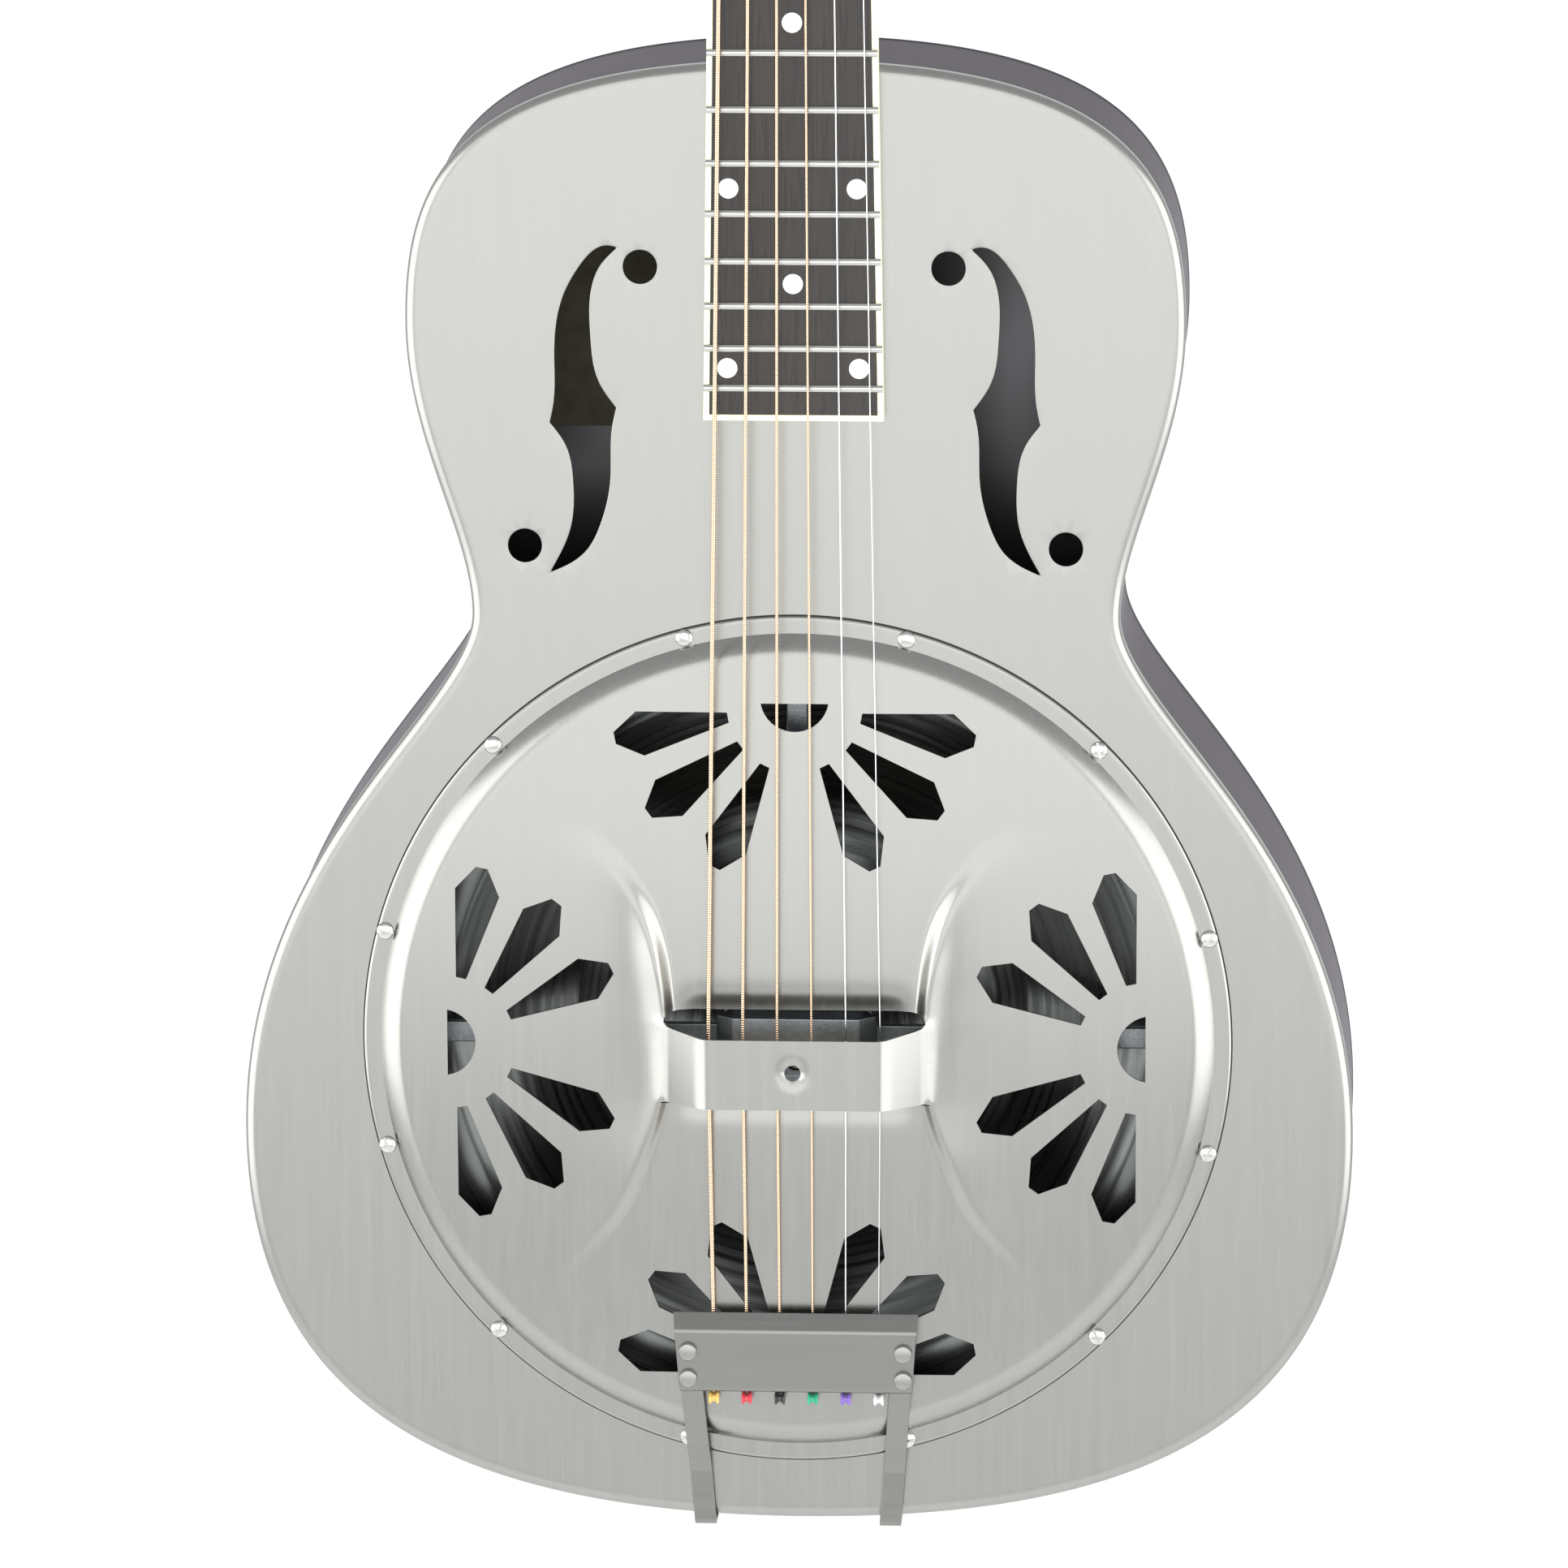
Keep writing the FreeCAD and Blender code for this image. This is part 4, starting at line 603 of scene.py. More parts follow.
def body_outline(steps=60):
    curves = [
        ((0, body_top_z), (UPPER * 0.865, body_top_z), (UPPER, UPPER_Z + 0.046), (UPPER, UPPER_Z)),
        ((UPPER, UPPER_Z), (UPPER, UPPER_Z - 0.038), (WAIST, WAIST_Z + 0.025), (WAIST, WAIST_Z)),
        ((WAIST, WAIST_Z), (WAIST, WAIST_Z - 0.030), (half_width, LOWER_Z + 0.094), (half_width, LOWER_Z)),
        ((half_width, LOWER_Z), (half_width, LOWER_Z - 0.075), (half_width * 0.768, body_low_z), (0, body_low_z))]
    right = []
    for curve in curves:
        p = np.array(curve)
        for t in np.linspace(0, 1, steps, endpoint=False):
            right.append((1 - t) ** 3 * p[0] + 3 * t * (1 - t) ** 2 * p[1]
                         + 3 * t * t * (1 - t) * p[2] + t ** 3 * p[3])
    right.append(np.array((0.0, body_low_z)))
    left = [np.array((-p[0], p[1])) for p in right[1:-1]][::-1]
    points = np.array(right + left)[::-1]
    along = np.roll(points, -1, 0) - np.roll(points, 1, 0)
    outward = np.stack([along[:, 1], -along[:, 0]], 1)
    return points, outward / np.linalg.norm(outward, axis=1)[:, None]


OUTLINE, OUTWARD = body_outline()


def outline_ring(inset, y):
    flat = OUTLINE - OUTWARD * inset
    depth = y(flat[:, 1]) if callable(y) else np.full(len(flat), y)
    return np.stack([flat[:, 0], depth, flat[:, 1]], 1)


def back_y(z):
    """The back leans: the body is shallower at the neck than at the tail."""
    share = (body_top_z - z) / (body_top_z - body_low_z)
    return DEPTH_NECK + (DEPTH_TAIL - DEPTH_NECK) * share


print("outline points", len(OUTLINE), "widest", round(OUTLINE[:, 0].max() * 2000, 1), "mm")

# %% [markdown]
# ## Front plate
# The front is one sheet: sound holes and vents are punched, then the rim is rolled over the
# sides. The flat part is a blank with holes, the rim is rings of the outline whose curve tightens
# toward the edge, and a small bevel on the cut edges catches the light as filed metal does.

# %% Sound holes and front plate
def natural_curve(points, steps):
    """Smooth open curve through points (a cubic through each span, level with its neighbours)."""
    p = np.array(points, float)
    gaps = np.linalg.norm(np.diff(p, axis=0), axis=1)
    t = np.concatenate([[0], np.cumsum(gaps)])
    n = len(p)
    system, right = np.zeros((n, n)), np.zeros((n, 2))
    system[0, 0] = system[-1, -1] = 1
    for i in range(1, n - 1):
        a, b = t[i] - t[i - 1], t[i + 1] - t[i]
        system[i, i - 1:i + 2] = a, 2 * (a + b), b
        right[i] = 6 * ((p[i + 1] - p[i]) / b - (p[i] - p[i - 1]) / a)
    curve = np.linalg.solve(system, right)
    out = []
    for i in range(n - 1):
        h = t[i + 1] - t[i]
        for s in np.linspace(0, h, steps, endpoint=False):
            u, v = h - s, s
            out.append((curve[i] * u ** 3 + curve[i + 1] * v ** 3) / (6 * h)
                       + (p[i] / h - curve[i] * h / 6) * u + (p[i + 1] / h - curve[i + 1] * h / 6) * v)
    return out


SOUND_HOLE = [
    [(-0.99, 0.99), (-0.68, 1.0), (0.1, 0.87), (0.62, 0.66), (0.83, 0.36), (0.86, 0.05), (0.98, -0.08)],
    [(0.98, -0.08), (0.52, -0.22), (0.31, -0.45), (0.40, -0.73), (1.0, -1.0)],
    [(1.0, -1.0), (0.40, -0.94), (-0.06, -0.86), (-0.42, -0.72), (-0.75, -0.42), (-0.80, -0.12), (-0.93, 0.01)],
    [(-0.93, 0.01), (-0.43, 0.17), (-0.20, 0.45), (-0.22, 0.72), (-0.50, 0.88), (-0.99, 0.99)]]


def sound_hole_loop(side):
    points = []
    for sweep in SOUND_HOLE:
        points += natural_curve([(side * (0.0663 + 0.01085 * u), saddle_z + 0.2036 + 0.052 * w) for u, w in sweep], 7)
    return np.array(points)


def front_plate():
    roll, drop = 4.4, 3.0
    rim = [(4.8, 0.0)]
    for reach in (0.0, 0.12, 0.24, 0.36, 0.48, 0.58, 0.68, 0.76, 0.83, 0.89, 0.94, 0.975, 0.995):
        rim.append((roll * (1 - reach), drop * (1 - (1 - reach ** 2.3) ** (1 / 2.3))))
    rim += [(0.0, 3.3), (0.05, 5.9)]
    holes = [sound_hole_loop(1), sound_hole_loop(-1), circle_loop(0, saddle_z, 0.124, 160)]
    for side in (1, -1):
        for x, rise in ((0.0483, 0.249), (0.0852, 0.160)):
            holes.append(circle_loop(side * x, saddle_z + rise, 0.0053, 44))
    inner = outline_ring(rim[0][0] * MM, 0)
    flat, faces = punched_blank(inner[:, [0, 2]], holes, 0.009)
    points = [(x, 0, z) for x, z in flat]
    first = len(points)
    count = len(OUTLINE)
    for inset, y in rim:
        points += [tuple(p) for p in outline_ring(inset * MM, y * MM)]
    faces = [tuple(f) for f in faces] + [tuple(first + k for k in f)[::-1] for f in ring_faces(len(rim), count)]
    mesh = reshape(mesh_from("front_plate", points, faces), weld_facing_front)
    piece = new_object("front_plate", mesh)
    rim_and_bevel(piece, BODY_SHEET, 0.45 * MM, 55)
    return dress(piece, "front_nickel", replaces=("body_top",))


plate_piece = front_plate()
print("front plate faces", len(plate_piece.data.polygons))

# %% [markdown]
# ## Sides and back
# The sides are one bent strip soldered to a back that leans away toward the tail. The strip is
# swept from the outline; the back gets the same small roll as the front, seen from behind.

# %% Sides and back
def face_out_and_cap(bm):
    """Turn a shell's outer side out, and cut its one big closing face into triangles."""
    bm.normal_update()
    if max(bm.faces, key=lambda f: f.calc_center_median().x).normal.x < 0:
        bmesh.ops.reverse_faces(bm, faces=bm.faces)
    caps = [f for f in bm.faces if len(f.verts) > 8]
    if caps:
        bmesh.ops.triangulate(bm, faces=caps)


def shell_rings(name, rings, node, cap=False):
    points, count = [], len(OUTLINE)
    for inset, y in rings:
        points += [tuple(p) for p in outline_ring(inset * MM, y)]
    faces = ring_faces(len(rings), count)
    if cap:
        faces.append(tuple(range((len(rings) - 1) * count, len(rings) * count)))
    piece = new_object(name, reshape(mesh_from(name, points, faces), face_out_and_cap))
    rim_and_bevel(piece, BODY_SHEET, 0.15 * MM, 60)
    return dress(piece, "side_nickel", replaces=(node,))


def lean(offset):
    return lambda z: back_y(z) + offset * MM


SIDE_START, SIDE_STOP = 0.0085, 0.0046  # straight part of the side: from the front, and before the back
side_rings = [(0.35, 0.0059), (0.30, 0.0064), (0.25, SIDE_START)]
side_rings += [(0.25, lambda z, s=s: SIDE_START + (back_y(z) - SIDE_START - SIDE_STOP) * s)
               for s in (0.25, 0.5, 0.75, 1.0)]
side_rings += [(0.22, lean(-3.2))]
side_piece = shell_rings("side_wall", side_rings, "body_sides")
back_profile = [(0.12, -3.3), (0.0, -3.0), (0.0, -2.0), (0.15, -1.3), (0.5, -0.7), (1.0, -0.3), (1.6, -0.12),
                (2.3, -0.2), (2.8, -0.42), (3.2, -0.45), (3.7, -0.25), (4.3, -0.1), (9.0, -0.05), (30.0, 0)]
back_rings = [(inset, lean(offset)) for inset, offset in back_profile]
back_piece = shell_rings("back_plate", back_rings, "body_back", cap=True)
print("side faces", len(side_piece.data.polygons), "back faces", len(back_piece.data.polygons))

# %% [markdown]
# ## Cover plate
# The cover starts as a flat disc. Petals, half-moons and the string opening are punched, and
# then a die presses it: a flange, a rounded shoulder, a shallow dome, a hand rest bridged over the
# strings, and four creases that run from the corners of the opening out across the dome.
# We do the same: a dense flat blank with holes, then one height for every point of it.

# %% Cutouts of the cover
FAN, PETAL = 110.5, [(21.5, -4.4), (50.3, -8.2), (58.0, -1.9), (58.0, 1.9), (50.3, 8.2), (21.5, 4.4)]


def spin_loop(points, turn):
    c, s = math.cos(turn), math.sin(turn)
    return np.array([(u * c - v * s, u * s + v * c) for u, v in points])


def cover_cutouts():
    loops = []
    for quarter in range(4):
        turn = math.pi / 2 * quarter
        for fan in (-79, -53, -26, 26, 53, 79):
            corners = []
            for reach, offset in PETAL:
                angle = math.radians(180 + fan + offset)
                corners.append((FAN + reach * math.cos(angle), reach * math.sin(angle)))
            loops.append(even_steps(spin_loop(corners, turn), 1.6))
        edge, half, deep = FAN + 0.5, 10.7, 9.0
        radius = (half ** 2 + deep ** 2) / (2 * deep)
        sweep = math.asin(half / radius)
        arc = [(edge - deep + radius - radius * math.cos(a), radius * math.sin(a))
               for a in np.linspace(sweep, -sweep, 18)]
        loops.append(even_steps(spin_loop(arc, turn), 1.6))
    right = [(27.0, 6.2), (29.5, 6.3), (34.0, 6.9), (38.5, 7.5), (40.6, 8.0), (41.6, 9.2), (41.2, 10.6),
             (39.6, 11.6), (37.0, 12.1), (34.0, 12.2)]
    upper = right[5:] + [(-x, z) for x, z in right[::-1]] + right[:5]
    lower = [(43.2, -17.7), (41.0, -17.0), (34.0, -16.7), (29.0, -16.4), (-29.0, -16.4), (-34.0, -16.7), (-41.0, -17.0),
             (-43.2, -17.7), (-41.0, -18.3), (41.0, -18.3)]
    loops += [even_steps(np.array(upper), 1.0), even_steps(np.array(lower), 1.0), circle_loop(0, -4.5, 2.6, 28)]
    return loops


cutouts = cover_cutouts()
print("cutouts", len(cutouts))

# %% Pressing heights
def ease(value):
    value = np.clip(value, 0, 1)
    return value * value * (3 - 2 * value)


CREASE = np.array(natural_curve([(-95, 93), (-67, 66.2), (-52, 54.7), (-34.5, 47.4), (-17.5, 42.0), (9, 40.2),
                                 (28, 42.4), (47, 48.5), (64, 61.0), (90, 84)], 14))


def crease_line(z):
    """Distance from the centre line to the crease, which swings outward away from the opening."""
    return np.interp(z, CREASE[:, 0], CREASE[:, 1])


def pressed_height(x, z):
    """Height of the outer surface over the front plate, in millimetres, at x and z from the centre."""
    r, side = np.hypot(x, z), np.abs(x)
    height = 9.5 - 4.5 * (np.minimum(r, 124.6) / 127.5) ** 2
    shoulder = np.clip((132.6 - r) / 8.0, 0, 1)
    height = np.where(r > 124.6, 1.0 + (height - 1.0) * (1 - (1 - shoulder) ** 2), height)
    height = height - 0.35 * (np.clip(r - 137.2, 0, None) / 0.8) ** 2
    away = np.where(z > -4, np.clip(z - 9, 0, None), np.clip(-17.5 - z, 0, None))
    past = side - crease_line(z)
    width = 3.4 + away * 0.08
    over = ease((past + width * 0.6) / width)
    outboard = np.clip(past - width * 0.25, 0, None)
    fade = (1 - ease((away - 14) / 50)) * np.exp(-(np.sqrt(outboard ** 2 + 2) - 1.41) / 8.5)
    lift = np.interp(z, [-50, -17, 9], [1.8, 2.6, 3.8]) * fade
    crest = height + lift
    height = height + lift * over
    channel = 1 - ease((side - 30) / 10)
    height = height - 1.5 * np.exp(-(np.clip(z - 12.2, 0, None) / 5.0) ** 2) * channel * (z > 11)
    height = height - 0.6 * np.exp(-(np.clip(-18.3 - z, 0, None) / 4.0) ** 2) * channel * (z < -18.2)
    ramp, bend, fillet, fall = np.clip((side - 26.4) / 18.1, 0, 1), 0.24, 0.74, 1.333
    slope = np.where(ramp < bend, fall * ramp ** 2 / (2 * bend), fall * (ramp - bend / 2))
    slope = np.where(ramp > fillet, 1 - fall * (1 - ramp) ** 2 / (2 * (1 - fillet)), slope)
    rest = 25.0 + (crest - 25.0) * slope
    rest = rest - 0.9 * np.exp(-(np.clip(np.hypot(x, z + 4.5) - 2.6, 0, None) / 1.3) ** 2)
    share = ease((11.4 - z) / 3.0) * ease((z + 18.25) / 1.3)
    return height * (1 - share) + rest * share


def crease_points():
    """Rows of points that run along the four creases, close together across the step."""
    rows = []
    for z in np.arange(-80, 81, 1.1):
        away = max(z - 9, -17.5 - z, 0)
        for share in (-0.75, -0.62, -0.49, -0.36, -0.23, -0.1, 0.03, 0.16, 0.29, 0.42, 0.6, 0.8):
            x = float(crease_line(z)) + share * (3.4 + away * 0.08)
            rows += [(x, z), (-x, z)]
    return np.array(rows)


def cover_piece():
    radii = (123.4, 124.6, 125.6, 126.6, 127.6, 128.6, 129.5, 130.4, 131.2, 131.9, 132.35, 132.6, 132.75,
             133.5, 135.0, 136.6, 137.2, 137.5, 137.8, 138.0)
    steps = 480
    flat, faces = punched_blank(circle_loop(0, 0, radii[0], steps), cutouts, 1.7, crease_points())
    first = len(flat)
    flat = np.concatenate([flat] + [circle_loop(0, 0, radius, steps) for radius in radii])
    faces = [tuple(f) for f in faces]
    faces += [tuple(first + k for k in f)[::-1] for f in ring_faces(len(radii), steps)]
    height = pressed_height(flat[:, 0], flat[:, 1])
    points = np.stack([flat[:, 0], -height, flat[:, 1]], 1) * MM
    points[:, 2] += saddle_z
    mesh = reshape(mesh_from("cover_plate", points, faces), weld_facing_front)
    piece = new_object("cover_plate", mesh)
    thicken(piece, 0.95 * MM)
    apply_modifiers(piece)
    smooth(piece.data, 30)
    return dress(piece, "front_nickel", replaces=("coverplate",))


def painted_shadow_ring():
    """Thin dark felt ring just past the flange: a painted shadow that stands in for the shade in the gap under the
    cover's edge.
    """
    profile = [(136.0, 0.0), (136.0, -0.06), (138.35, -0.14), (138.5, -0.1), (138.5, 0.0)]
    mesh = turned_mesh("cover_gasket", [(r * MM, y * MM) for r, y in profile], 240, (0, 0, saddle_z))
    smooth(mesh, 40)
    return dress(new_object("cover_gasket", mesh), "felt")


cover = cover_piece()
painted_shadow_ring()
print("cover plate faces", len(cover.data.polygons))

# %% [markdown]
# ## Screws and rivets by Geometry Nodes
# Small hardware repeats. One screw is modelled, and a node tree puts a copy on every marker
# point. Each marker carries its own turn, because no one lines up screw slots by hand.

# %% A tree that repeats one part
def repeat_tree():
    tree = bpy.data.node_groups.new("repeat_part", "GeometryNodeTree")
    sockets = {}
    kinds = {"Markers": "Geometry", "Part": "Object", "Finish": "Material", "Size": "Float",
             "Random turn": "Float", "Seed": "Int"}
    for name, kind in kinds.items():
        sockets[name] = tree.interface.new_socket(name, in_out="INPUT", socket_type="NodeSocket" + kind)
    tree.interface.new_socket("Hardware", in_out="OUTPUT", socket_type="NodeSocketGeometry")
    nodes, link = tree.nodes, tree.links.new
    given, result = nodes.new("NodeGroupInput"), nodes.new("NodeGroupOutput")
    info = nodes.new("GeometryNodeObjectInfo")
    info.inputs["As Instance"].default_value = True
    chance = nodes.new("FunctionNodeRandomValue")
    chance.data_type = "FLOAT"
    turn = nodes.new("ShaderNodeCombineXYZ")
    copies = nodes.new("GeometryNodeInstanceOnPoints")
    real, paint = nodes.new("GeometryNodeRealizeInstances"), nodes.new("GeometryNodeSetMaterial")
    link(given.outputs["Part"], info.inputs["Object"])
    link(given.outputs["Random turn"], chance.inputs[3])
    link(given.outputs["Seed"], chance.inputs["Seed"])
    link(chance.outputs[1], turn.inputs["Y"])
    link(given.outputs["Markers"], copies.inputs["Points"])
    link(info.outputs["Geometry"], copies.inputs["Instance"])
    link(turn.outputs[0], copies.inputs["Rotation"])
    link(given.outputs["Size"], copies.inputs["Scale"])
    link(copies.outputs[0], real.inputs[0])
    link(real.outputs[0], paint.inputs["Geometry"])
    link(given.outputs["Finish"], paint.inputs["Material"])
    link(paint.outputs[0], result.inputs[0])
    return tree, {name: socket.identifier for name, socket in sockets.items()}


REPEAT, SOCKET = repeat_tree()


def repeat_part(name, part, places, finish, turn=0.0, seed=1, size=1.0):
    """Copies of a part on places; the part is removed, and the copies become one plain mesh."""
    carrier = new_object(name, mesh_from(name, places, []))
    modifier = carrier.modifiers.new("repeat", "NODES")
    modifier.node_group = REPEAT
    given = {"Part": part, "Finish": FINISHES[finish], "Size": size, "Random turn": turn, "Seed": seed}
    for key, value in given.items():
        modifier[SOCKET[key]] = value
    apply_modifiers(carrier)
    bpy.data.objects.remove(part)
    return carrier


def slotted_head(name, radius, height, slot, depth, shank):
    """Round head that faces the front, with a driver slot cut by a boolean."""
    profile = [(0, -height)]
    for k in range(1, 7):
        a = math.pi / 2 * k / 6
        profile.append((radius * math.sin(a), -height * (0.35 + 0.65 * math.cos(a))))
    profile += [(radius, -0.0), (radius * 0.5, 0.0), (radius * 0.5, shank), (0, shank)]
    head = new_object(name, turned_mesh(name, profile, 28))
    bm = bmesh.new()
    bmesh.ops.create_cube(bm, size=1.0)
    cutter_mesh = bpy.data.meshes.new("slot")
    bm.to_mesh(cutter_mesh)
    bm.free()
    cutter_mesh.transform(Matrix.Translation((0, -height, 0)) @ Matrix.Diagonal((radius * 3, depth * 2, slot, 1)))
    cutter = new_object("slot", cutter_mesh)
    cut = head.modifiers.new("slot", "BOOLEAN")
    cut.operation, cut.object, cut.solver = "DIFFERENCE", cutter, "EXACT"
    apply_modifiers(head)
    bpy.data.objects.remove(cutter)
    smooth(head.data, 40)
    return head


SCREW_CIRCLE = 0.1355
screw_places = []
for k in range(12):
    angle = math.radians(30 * k + 15)
    screw_places.append((SCREW_CIRCLE * math.cos(angle), -0.001, saddle_z + SCREW_CIRCLE * math.sin(angle)))
screw = slotted_head("screw", 2.8 * MM, height=1.7 * MM, slot=0.7 * MM, depth=0.8 * MM, shank=4 * MM)
cover_screws = repeat_part("cover_screws", screw, screw_places, "bright_steel", turn=3.1, seed=7)
dress(cover_screws, "bright_steel", replaces=("coverplate_screws",))
print("cover screws", len(screw_places), "faces", len(cover_screws.data.polygons))

# %% [markdown]
# ## Resonator
# Under the cover a spun aluminium cone sits on the ledge of the sound well, and the spider
# stands on the cone's rim. Only glints of them show through the petals, so the cone's rings and
# the spider's rounded legs matter more than their hidden parts.

# %% Cone, spider, well
def cone_piece():
    profile = [(0, 15.6)]
    for r in np.linspace(4, 12, 4):
        profile.append((r, 15.6))
    for r in np.linspace(14, 63, 40):
        profile.append((r, 16.2 + (36.0 - 16.2) * (r - 14) / 49 + 0.06 * math.sin((r - 14) * 1.3)))
    for r in np.linspace(64, 72, 8):
        profile.append((r, 37.0 - 0.25 * abs(r - 68) / 4))
    for r in np.linspace(73, 112, 34):
        profile.append((r, 36.4 - (36.4 - 17.4) * (r - 73) / 39 + 0.06 * math.sin((r - 73) * 1.5)))
    profile += [(113.5, 17.05), (118, 17.0), (123, 17.0), (123.4, 17.3), (123.4, 17.9), (113, 17.9), (73, 37.6),
                (68, 37.9), (63, 37.4), (14, 16.9), (0, 16.4)]
    mesh = turned_mesh("spun_cone", [(r * MM, y * MM) for r, y in profile], 160, (0, 0, saddle_z))
    smooth(mesh, 30)
    return dress(new_object("spun_cone", mesh), "spun_aluminium", replaces=("cone",))


cone = cone_piece()
refined("spider", "cast_aluminium", bevel=0.5 * MM)
refined("sound_well", "side_nickel")
refined("saddles", "maple", bevel=0.25 * MM)
refined("tension_screw", "bright_steel", body="tension_screw", bevel=0.15 * MM)
print("cone faces", len(cone.data.polygons))

# %% [markdown]
# ## Tailpiece
# The tailpiece is bent from one plate: a front flange that catches the strings' pull, a rounded
# fold, a sloping plate and a lip for the ball ends. Two riveted straps carry the pull over the
# tail of the body to the end pin. Each bend gets a true radius, because a sharp fold would crack.

# %% Bent sheets
def rounded_path(corners, radii, steps=8):
    """Points along straight runs with an arc of the given radius at each inner corner."""
    corners = [np.array(c, float) for c in corners]
    out = [corners[0]]
    for before, here, after, radius in zip(corners, corners[1:], corners[2:], radii):
        a, b = (before - here) / np.linalg.norm(before - here), (after - here) / np.linalg.norm(after - here)
        half = math.acos(np.clip(a @ b, -1, 1)) / 2
        reach = radius / math.tan(half)
        start, end = here + a * reach, here + b * reach
        for k in range(steps + 1):
            t = k / steps
            out.append((1 - t) ** 2 * start + 2 * t * (1 - t) * here + t * t * end)
    out.append(corners[-1])
    return out


def flat_parts_to_front(bm):
    bm.normal_update()
    if sum(f.normal.y for f in bm.faces if abs(f.normal.y) > 0.8) > 0:
        bmesh.ops.reverse_faces(bm, faces=bm.faces)


def bent_sheet(name, path, left, right, thickness, bevel=0.25):
    """Sheet whose middle line runs in y, z; left and right give its sides at each height."""
    points = [(side(z) * MM, y * MM, saddle_z + z * MM) for y, z in path for side in (left, right)]
    mesh = mesh_from(name, points, ring_faces(len(path), 2, closed=False))
    piece = new_object(name, reshape(mesh, flat_parts_to_front))
    thicken(piece, thickness * MM, 0)
    return rim_and_bevel(piece, 0, bevel * MM, 60)


FOLD_Y, FOLD_Z = -14.2, -92.2  # fold of the tailpiece, from the front plate and the saddle line
LIP_Y, LIP_Z = -12.0, -112.0
PLATE_RUN = FOLD_Z - LIP_Z


def tail_half(z):
    return 38.7 + (37.2 - 38.7) * (FOLD_Z - z) / PLATE_RUN


plate_path = rounded_path([(-11.2, -86.6), (FOLD_Y, FOLD_Z), (LIP_Y, LIP_Z), (-7.6, -112.6)], [2.2, 1.4])
tail_plate = bent_sheet("tail_plate", plate_path, lambda z: -tail_half(z), tail_half, 1.3)
dress(tail_plate, "tail_nickel", replaces=("tailpiece_plate",))


def strap_middle(z):
    return 34.6 + (29.6 - 34.6) * np.clip((-z - 95) / 65, 0, 1)


tail_z = (body_low_z - saddle_z) / MM - 1.0
pin_low, pin_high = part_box("end_pin")
pin_y = (pin_low.y + pin_high.y) / 2 / MM
STRAP_HALF, STRAP_SHEET, CROSS_HALF = 3.5, 1.4, 8.0
strap_corners = [(-12.4, -95.2), (-10.9, -109.2), (-6.3, -131.0), (-2.2, -141.0), (-2.2, tail_z),
                 (pin_y + CROSS_HALF, tail_z)]
strap_path = rounded_path(strap_corners, [10, 8, 8, 1.6])
straps = []
for name, side in (("tail_strap_bass", -1), ("tail_strap_treble", 1)):
    straps.append(bent_sheet(name, strap_path, lambda z, s=side: s * strap_middle(z) - STRAP_HALF,
                             lambda z, s=side: s * strap_middle(z) + STRAP_HALF, STRAP_SHEET, bevel=0.3))
cross_path = [(y, tail_z) for y in np.linspace(pin_y - CROSS_HALF, pin_y + CROSS_HALF, 3)]
cross = bent_sheet("tail_cross_plate", cross_path, lambda z: -33.0, lambda z: 33.0, STRAP_SHEET)
dress(straps[0], "tail_nickel", replaces=("tailpiece_bracket",))
for piece in (straps[1], cross):
    dress(piece, "tail_nickel")
print("tail plate", len(tail_plate.data.polygons), "strap", len(straps[0].data.polygons))


# %% Rivets, felt and end pin
def rivet_part():
    profile = [(0, -1.6), (2.2, -1.6), (2.6, -1.5), (2.8, -1.25), (2.8, -0.1), (1.6, 0.0), (1.6, 1.0), (0, 1.0)]
    part = new_object("rivet", turned_mesh("rivet", [(r * MM, y * MM) for r, y in profile], 30))
    smooth(part.data, 35)
    return part


rivet_places = []
for side in (-1, 1):
    for share in (0.33, 0.79):
        y, z = FOLD_Y + (LIP_Y - FOLD_Y) * share - 0.85, FOLD_Z - PLATE_RUN * share
        rivet_places.append((side * strap_middle(-98.2) * MM, y * MM, saddle_z + z * MM))
rivets = repeat_part("tail_rivets", rivet_part(), rivet_places, "front_nickel")
dress(rivets, "front_nickel", replaces=("tailpiece_rivets",))
refined("tailpiece_pad", "felt", bevel=0.4 * MM)
refined("end_pin", "bright_steel")
print("rivets", len(rivet_places))

# %% [markdown]
# ## Neck, fingerboard and headstock
# These shapes come straight from the CAD: a smooth copy with lightly broken edges is all they
# need, since their character is in the wood, the ivory-like binding and the pearl dots.

# %% Neck and fingerboard pieces
FROM_CAD = {
    "neck": ("neck_wood", 0), "neck_stick": ("spruce", 0.6), "truss_rod": ("bright_steel", 0),
    "fingerboard": ("rosewood", 0), "fingerboard_binding": ("ivoroid", 0.35), "frets": ("fret_metal", 0),
    "position_dots": ("pearl", 0), "nut": ("bone", 0.2), "headstock_overlay": ("black_gloss", 0.3),
    "truss_rod_cover": ("black_gloss", 0.25), "truss_cover_screws": ("bright_steel", 0),
    "tuner_bushings": ("bright_steel", 0.2), "tuner_plates": ("bright_steel", 0.2),
    "tuner_plate_screws": ("bright_steel", 0)}
for node, (finish, bevel) in FROM_CAD.items():
    refined(node, finish, bevel=bevel * MM)
refined("truss_rod_nut", "bright_steel", body="truss_rod_nut", bevel=0.15 * MM)
STRINGS = ("low_e", "a", "d", "g", "b", "high_e")
for name in STRINGS:
    refined("string_post_" + name, "bright_steel", body="post_" + name)
    refined("tuner_gear_" + name, "gear_brass", body="post_" + name, bevel=0.08 * MM)
    refined("worm_shaft_" + name, "bright_steel", body="key_" + name)
    refined("tuner_button_" + name, "cream_button", body="key_" + name)
print("neck and head pieces ready")

# %% [markdown]
# ## Strings
# A string is a round wire over the tail edge, the saddle and the nut, then round its post.
# The turns on the post are a separate piece, because they turn with the post.

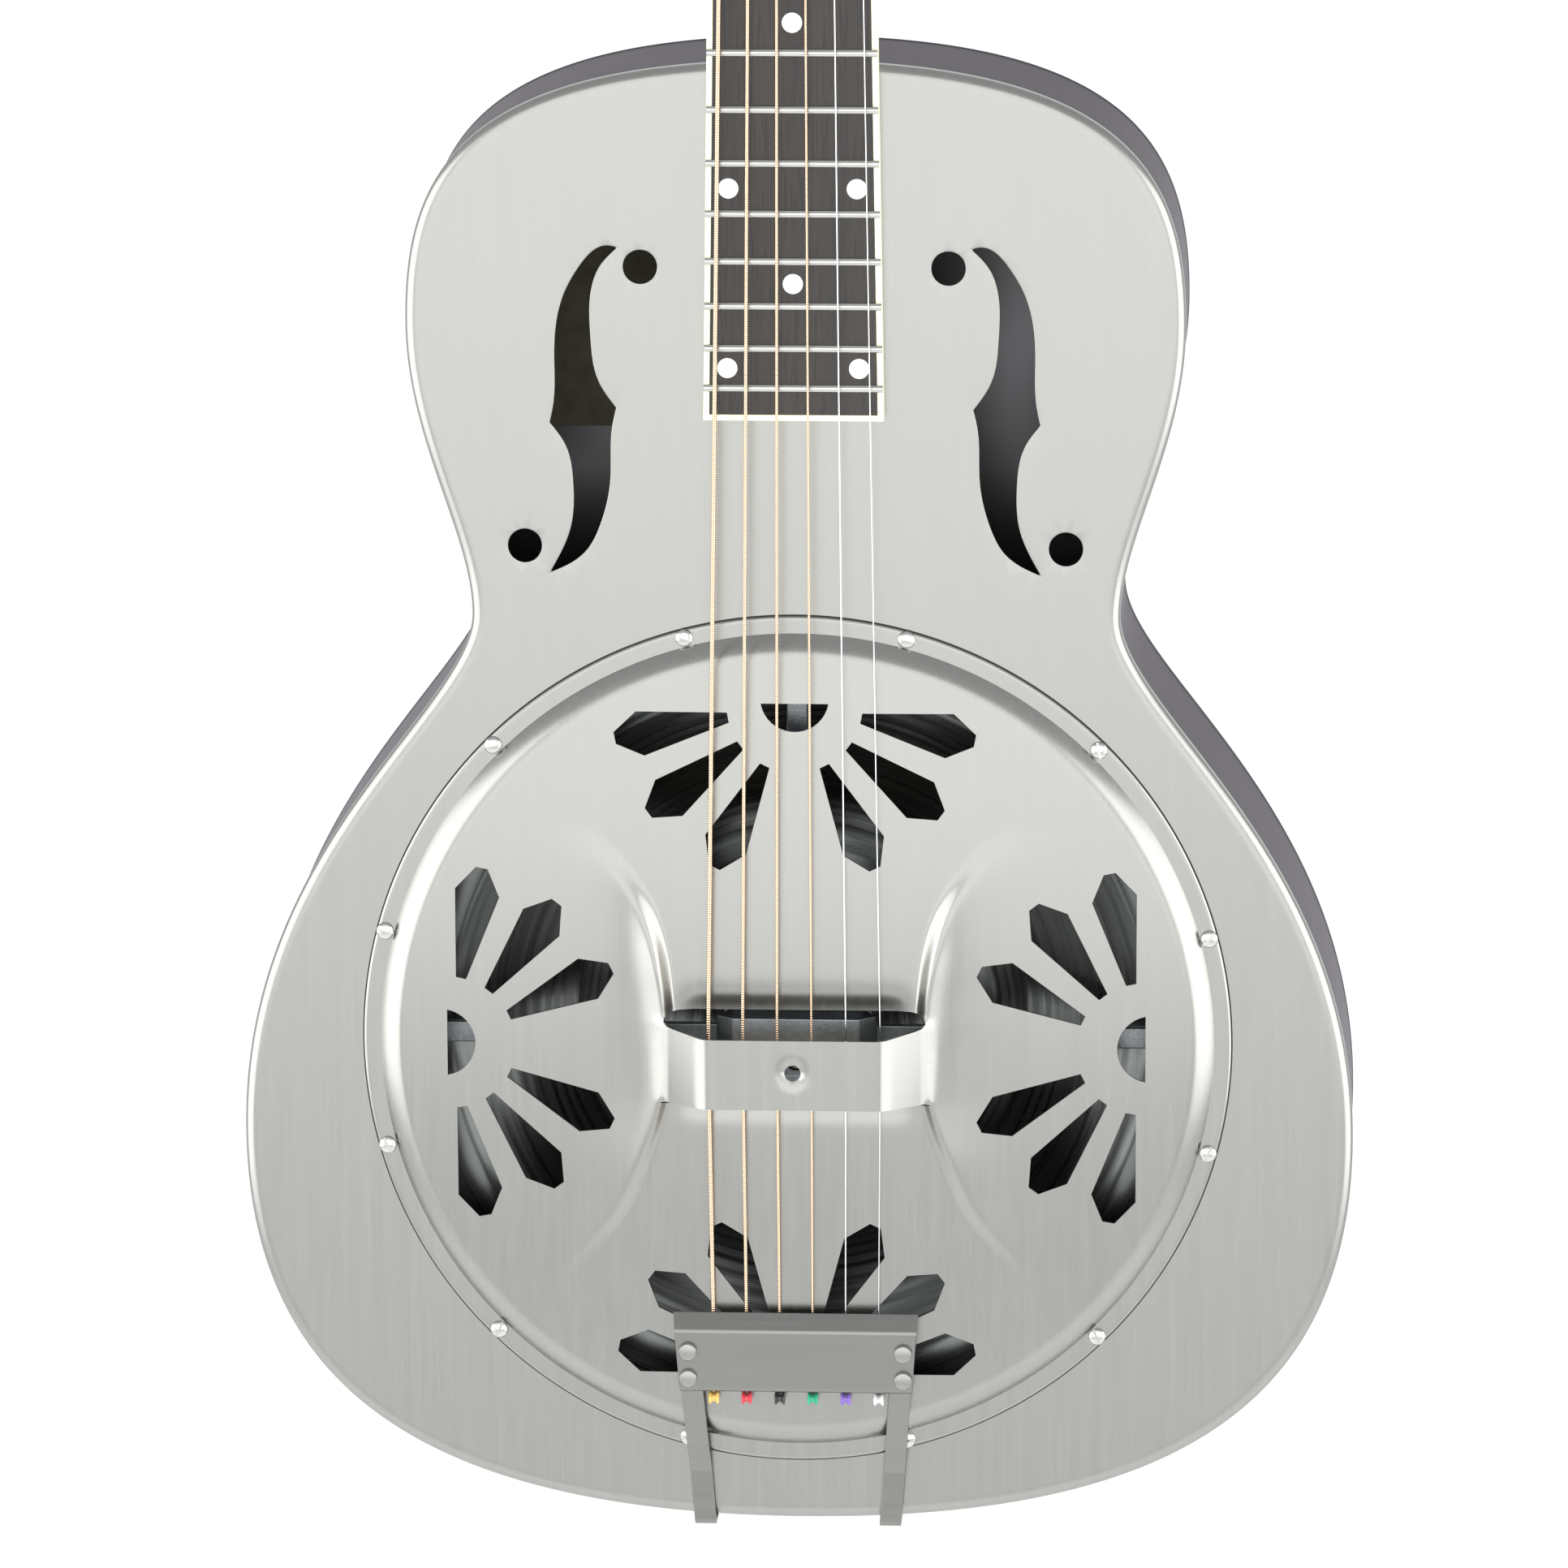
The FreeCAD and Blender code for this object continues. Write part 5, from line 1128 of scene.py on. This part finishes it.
# %% Wires, ball ends and turns
GAUGE = (0.70, 0.56, 0.46, 0.37, 0.23, 0.18)
POST_SPREAD, POST_FIRST, POST_PITCH, POST_WAIST = 25.0, 46.0, 40.0, 2.3
SADDLE_CROWN, NUT_CROWN, TAIL_EDGE, COIL_Y = -14.2, -8.2, 87.3, -6.4
HEAD_TILT = math.radians(14)


def in_head(x, y, z):
    """Point of the tilted headstock frame, in millimetres, to metres in the guitar's frame."""
    c, s = math.cos(HEAD_TILT), math.sin(HEAD_TILT)
    return Vector((x, y * c + z * s, -y * s + z * c)) * MM + Vector((0, 0, nut_z + 0.005))


def make_string(index, name):
    radius = GAUGE[index]
    across = index / 5 - 0.5
    finish = "bronze_wound" if index < 4 else "plain_wire"
    z0 = saddle_z / MM
    zn = nut_z / MM
    z_tail = z0 - TAIL_EDGE
    ball_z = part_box("string_" + name)[0].z / MM + 2.0
    x_tail, x_saddle, x_nut = 52.8 * across, 54.6 * across, 36.2 * across
    side = -1 if index < 3 else 1
    row = index if index < 3 else 5 - index
    post_x, post_z = side * POST_SPREAD, POST_FIRST + POST_PITCH * row
    coil = POST_WAIST + radius + 0.05
    crown = SADDLE_CROWN - radius * 0.4 + 0.1
    run = [(x_tail, -9.3, ball_z + 1.6), (x_tail, -9.9 + radius * 0.5, z_tail)]
    run += [(x_tail + (x_saddle - x_tail) * t, -9.9 + (crown + 9.9) * t, z_tail + TAIL_EDGE * t)
            for t in (0.5, 0.96)]
    run += [(x_saddle, crown - 0.02, z0)]
    run += [(x_saddle + (x_nut - x_saddle) * t, crown + (NUT_CROWN - crown) * t, z0 + (zn - z0) * t)
            for t in (0.01, 0.25, 0.5, 0.75, 1.0)]
    run += [(x_nut, -8.0, zn + 4.6)]
    points = [Vector(p) * MM for p in run]
    # The wire stops one wire thickness in front of its turns, so that they can turn past it.
    points.append(in_head(post_x - side * coil, COIL_Y - (2 * radius + 0.08), post_z - 0.6))
    mesh = tube_mesh("wire_" + name, points, radius * MM, 12)
    spool = [(0, -1.7), (1.5, -1.7), (2.0, -1.5), (2.0, -1.0), (1.35, -0.55)]
    spool += [(1.2, 0)] + [(r, -y) for r, y in spool[::-1]]
    dress(new_object("wire_" + name, mesh), finish, replaces=("string_" + name,))
    ball_mesh = turned_mesh("ball_" + name, [(r * MM, y * MM) for r, y in spool], 24)
    ball_mesh.transform(Matrix.Translation((x_tail * MM, -0.0093, ball_z * MM)) @ Matrix.Rotation(math.pi / 2, 4, "Z"))
    smooth(ball_mesh, 50)
    dress(new_object("ball_end_" + name, ball_mesh), list(BALLS)[index])
    turns, count = 3.25, 66
    path = []
    for k in range(count + 1):
        a = turns * 2 * math.pi * k / count
        y = COIL_Y + (2 * radius + 0.06) * max(0.0, a / (2 * math.pi) - 1)
        path.append(in_head(post_x - side * coil * math.cos(a), y, post_z + coil * math.sin(a)))
    turns_mesh = tube_mesh("turns_" + name, path, radius * MM, 8)
    dress(new_object("string_turns_" + name, turns_mesh), finish, body="post_" + name)


for index, name in enumerate(STRINGS):
    make_string(index, name)
print("strings", len(STRINGS))

# %% [markdown]
# ## The label
# A maker glues a paper label inside the back, where it shows through the bass sound hole. Ours
# is blank: a plain thin card.

# %% Blank label
def margin_facing_front(bm):
    """Set a narrow margin in the card, and turn the card to the sound hole."""
    bmesh.ops.inset_region(bm, faces=bm.faces, thickness=0.0022)
    bm.normal_update()
    bm.faces.ensure_lookup_table()
    if bm.faces[0].normal.y > 0:
        bmesh.ops.reverse_faces(bm, faces=bm.faces)


def label_piece():
    card = [(-0.092, 0.252), (-0.048, 0.252), (-0.048, 0.187), (-0.092, 0.187)]
    y = 0.0628
    points = [(x, y, saddle_z + z) for x, z in card]
    mesh = reshape(mesh_from("blank_label", points, [(0, 3, 2, 1)]), margin_facing_front)
    piece = new_object("blank_label", mesh)
    thicken(piece, 0.0003)
    apply_modifiers(piece)
    return dress(piece, "label_paper")


label = label_piece()
print("label faces", len(label.data.polygons))
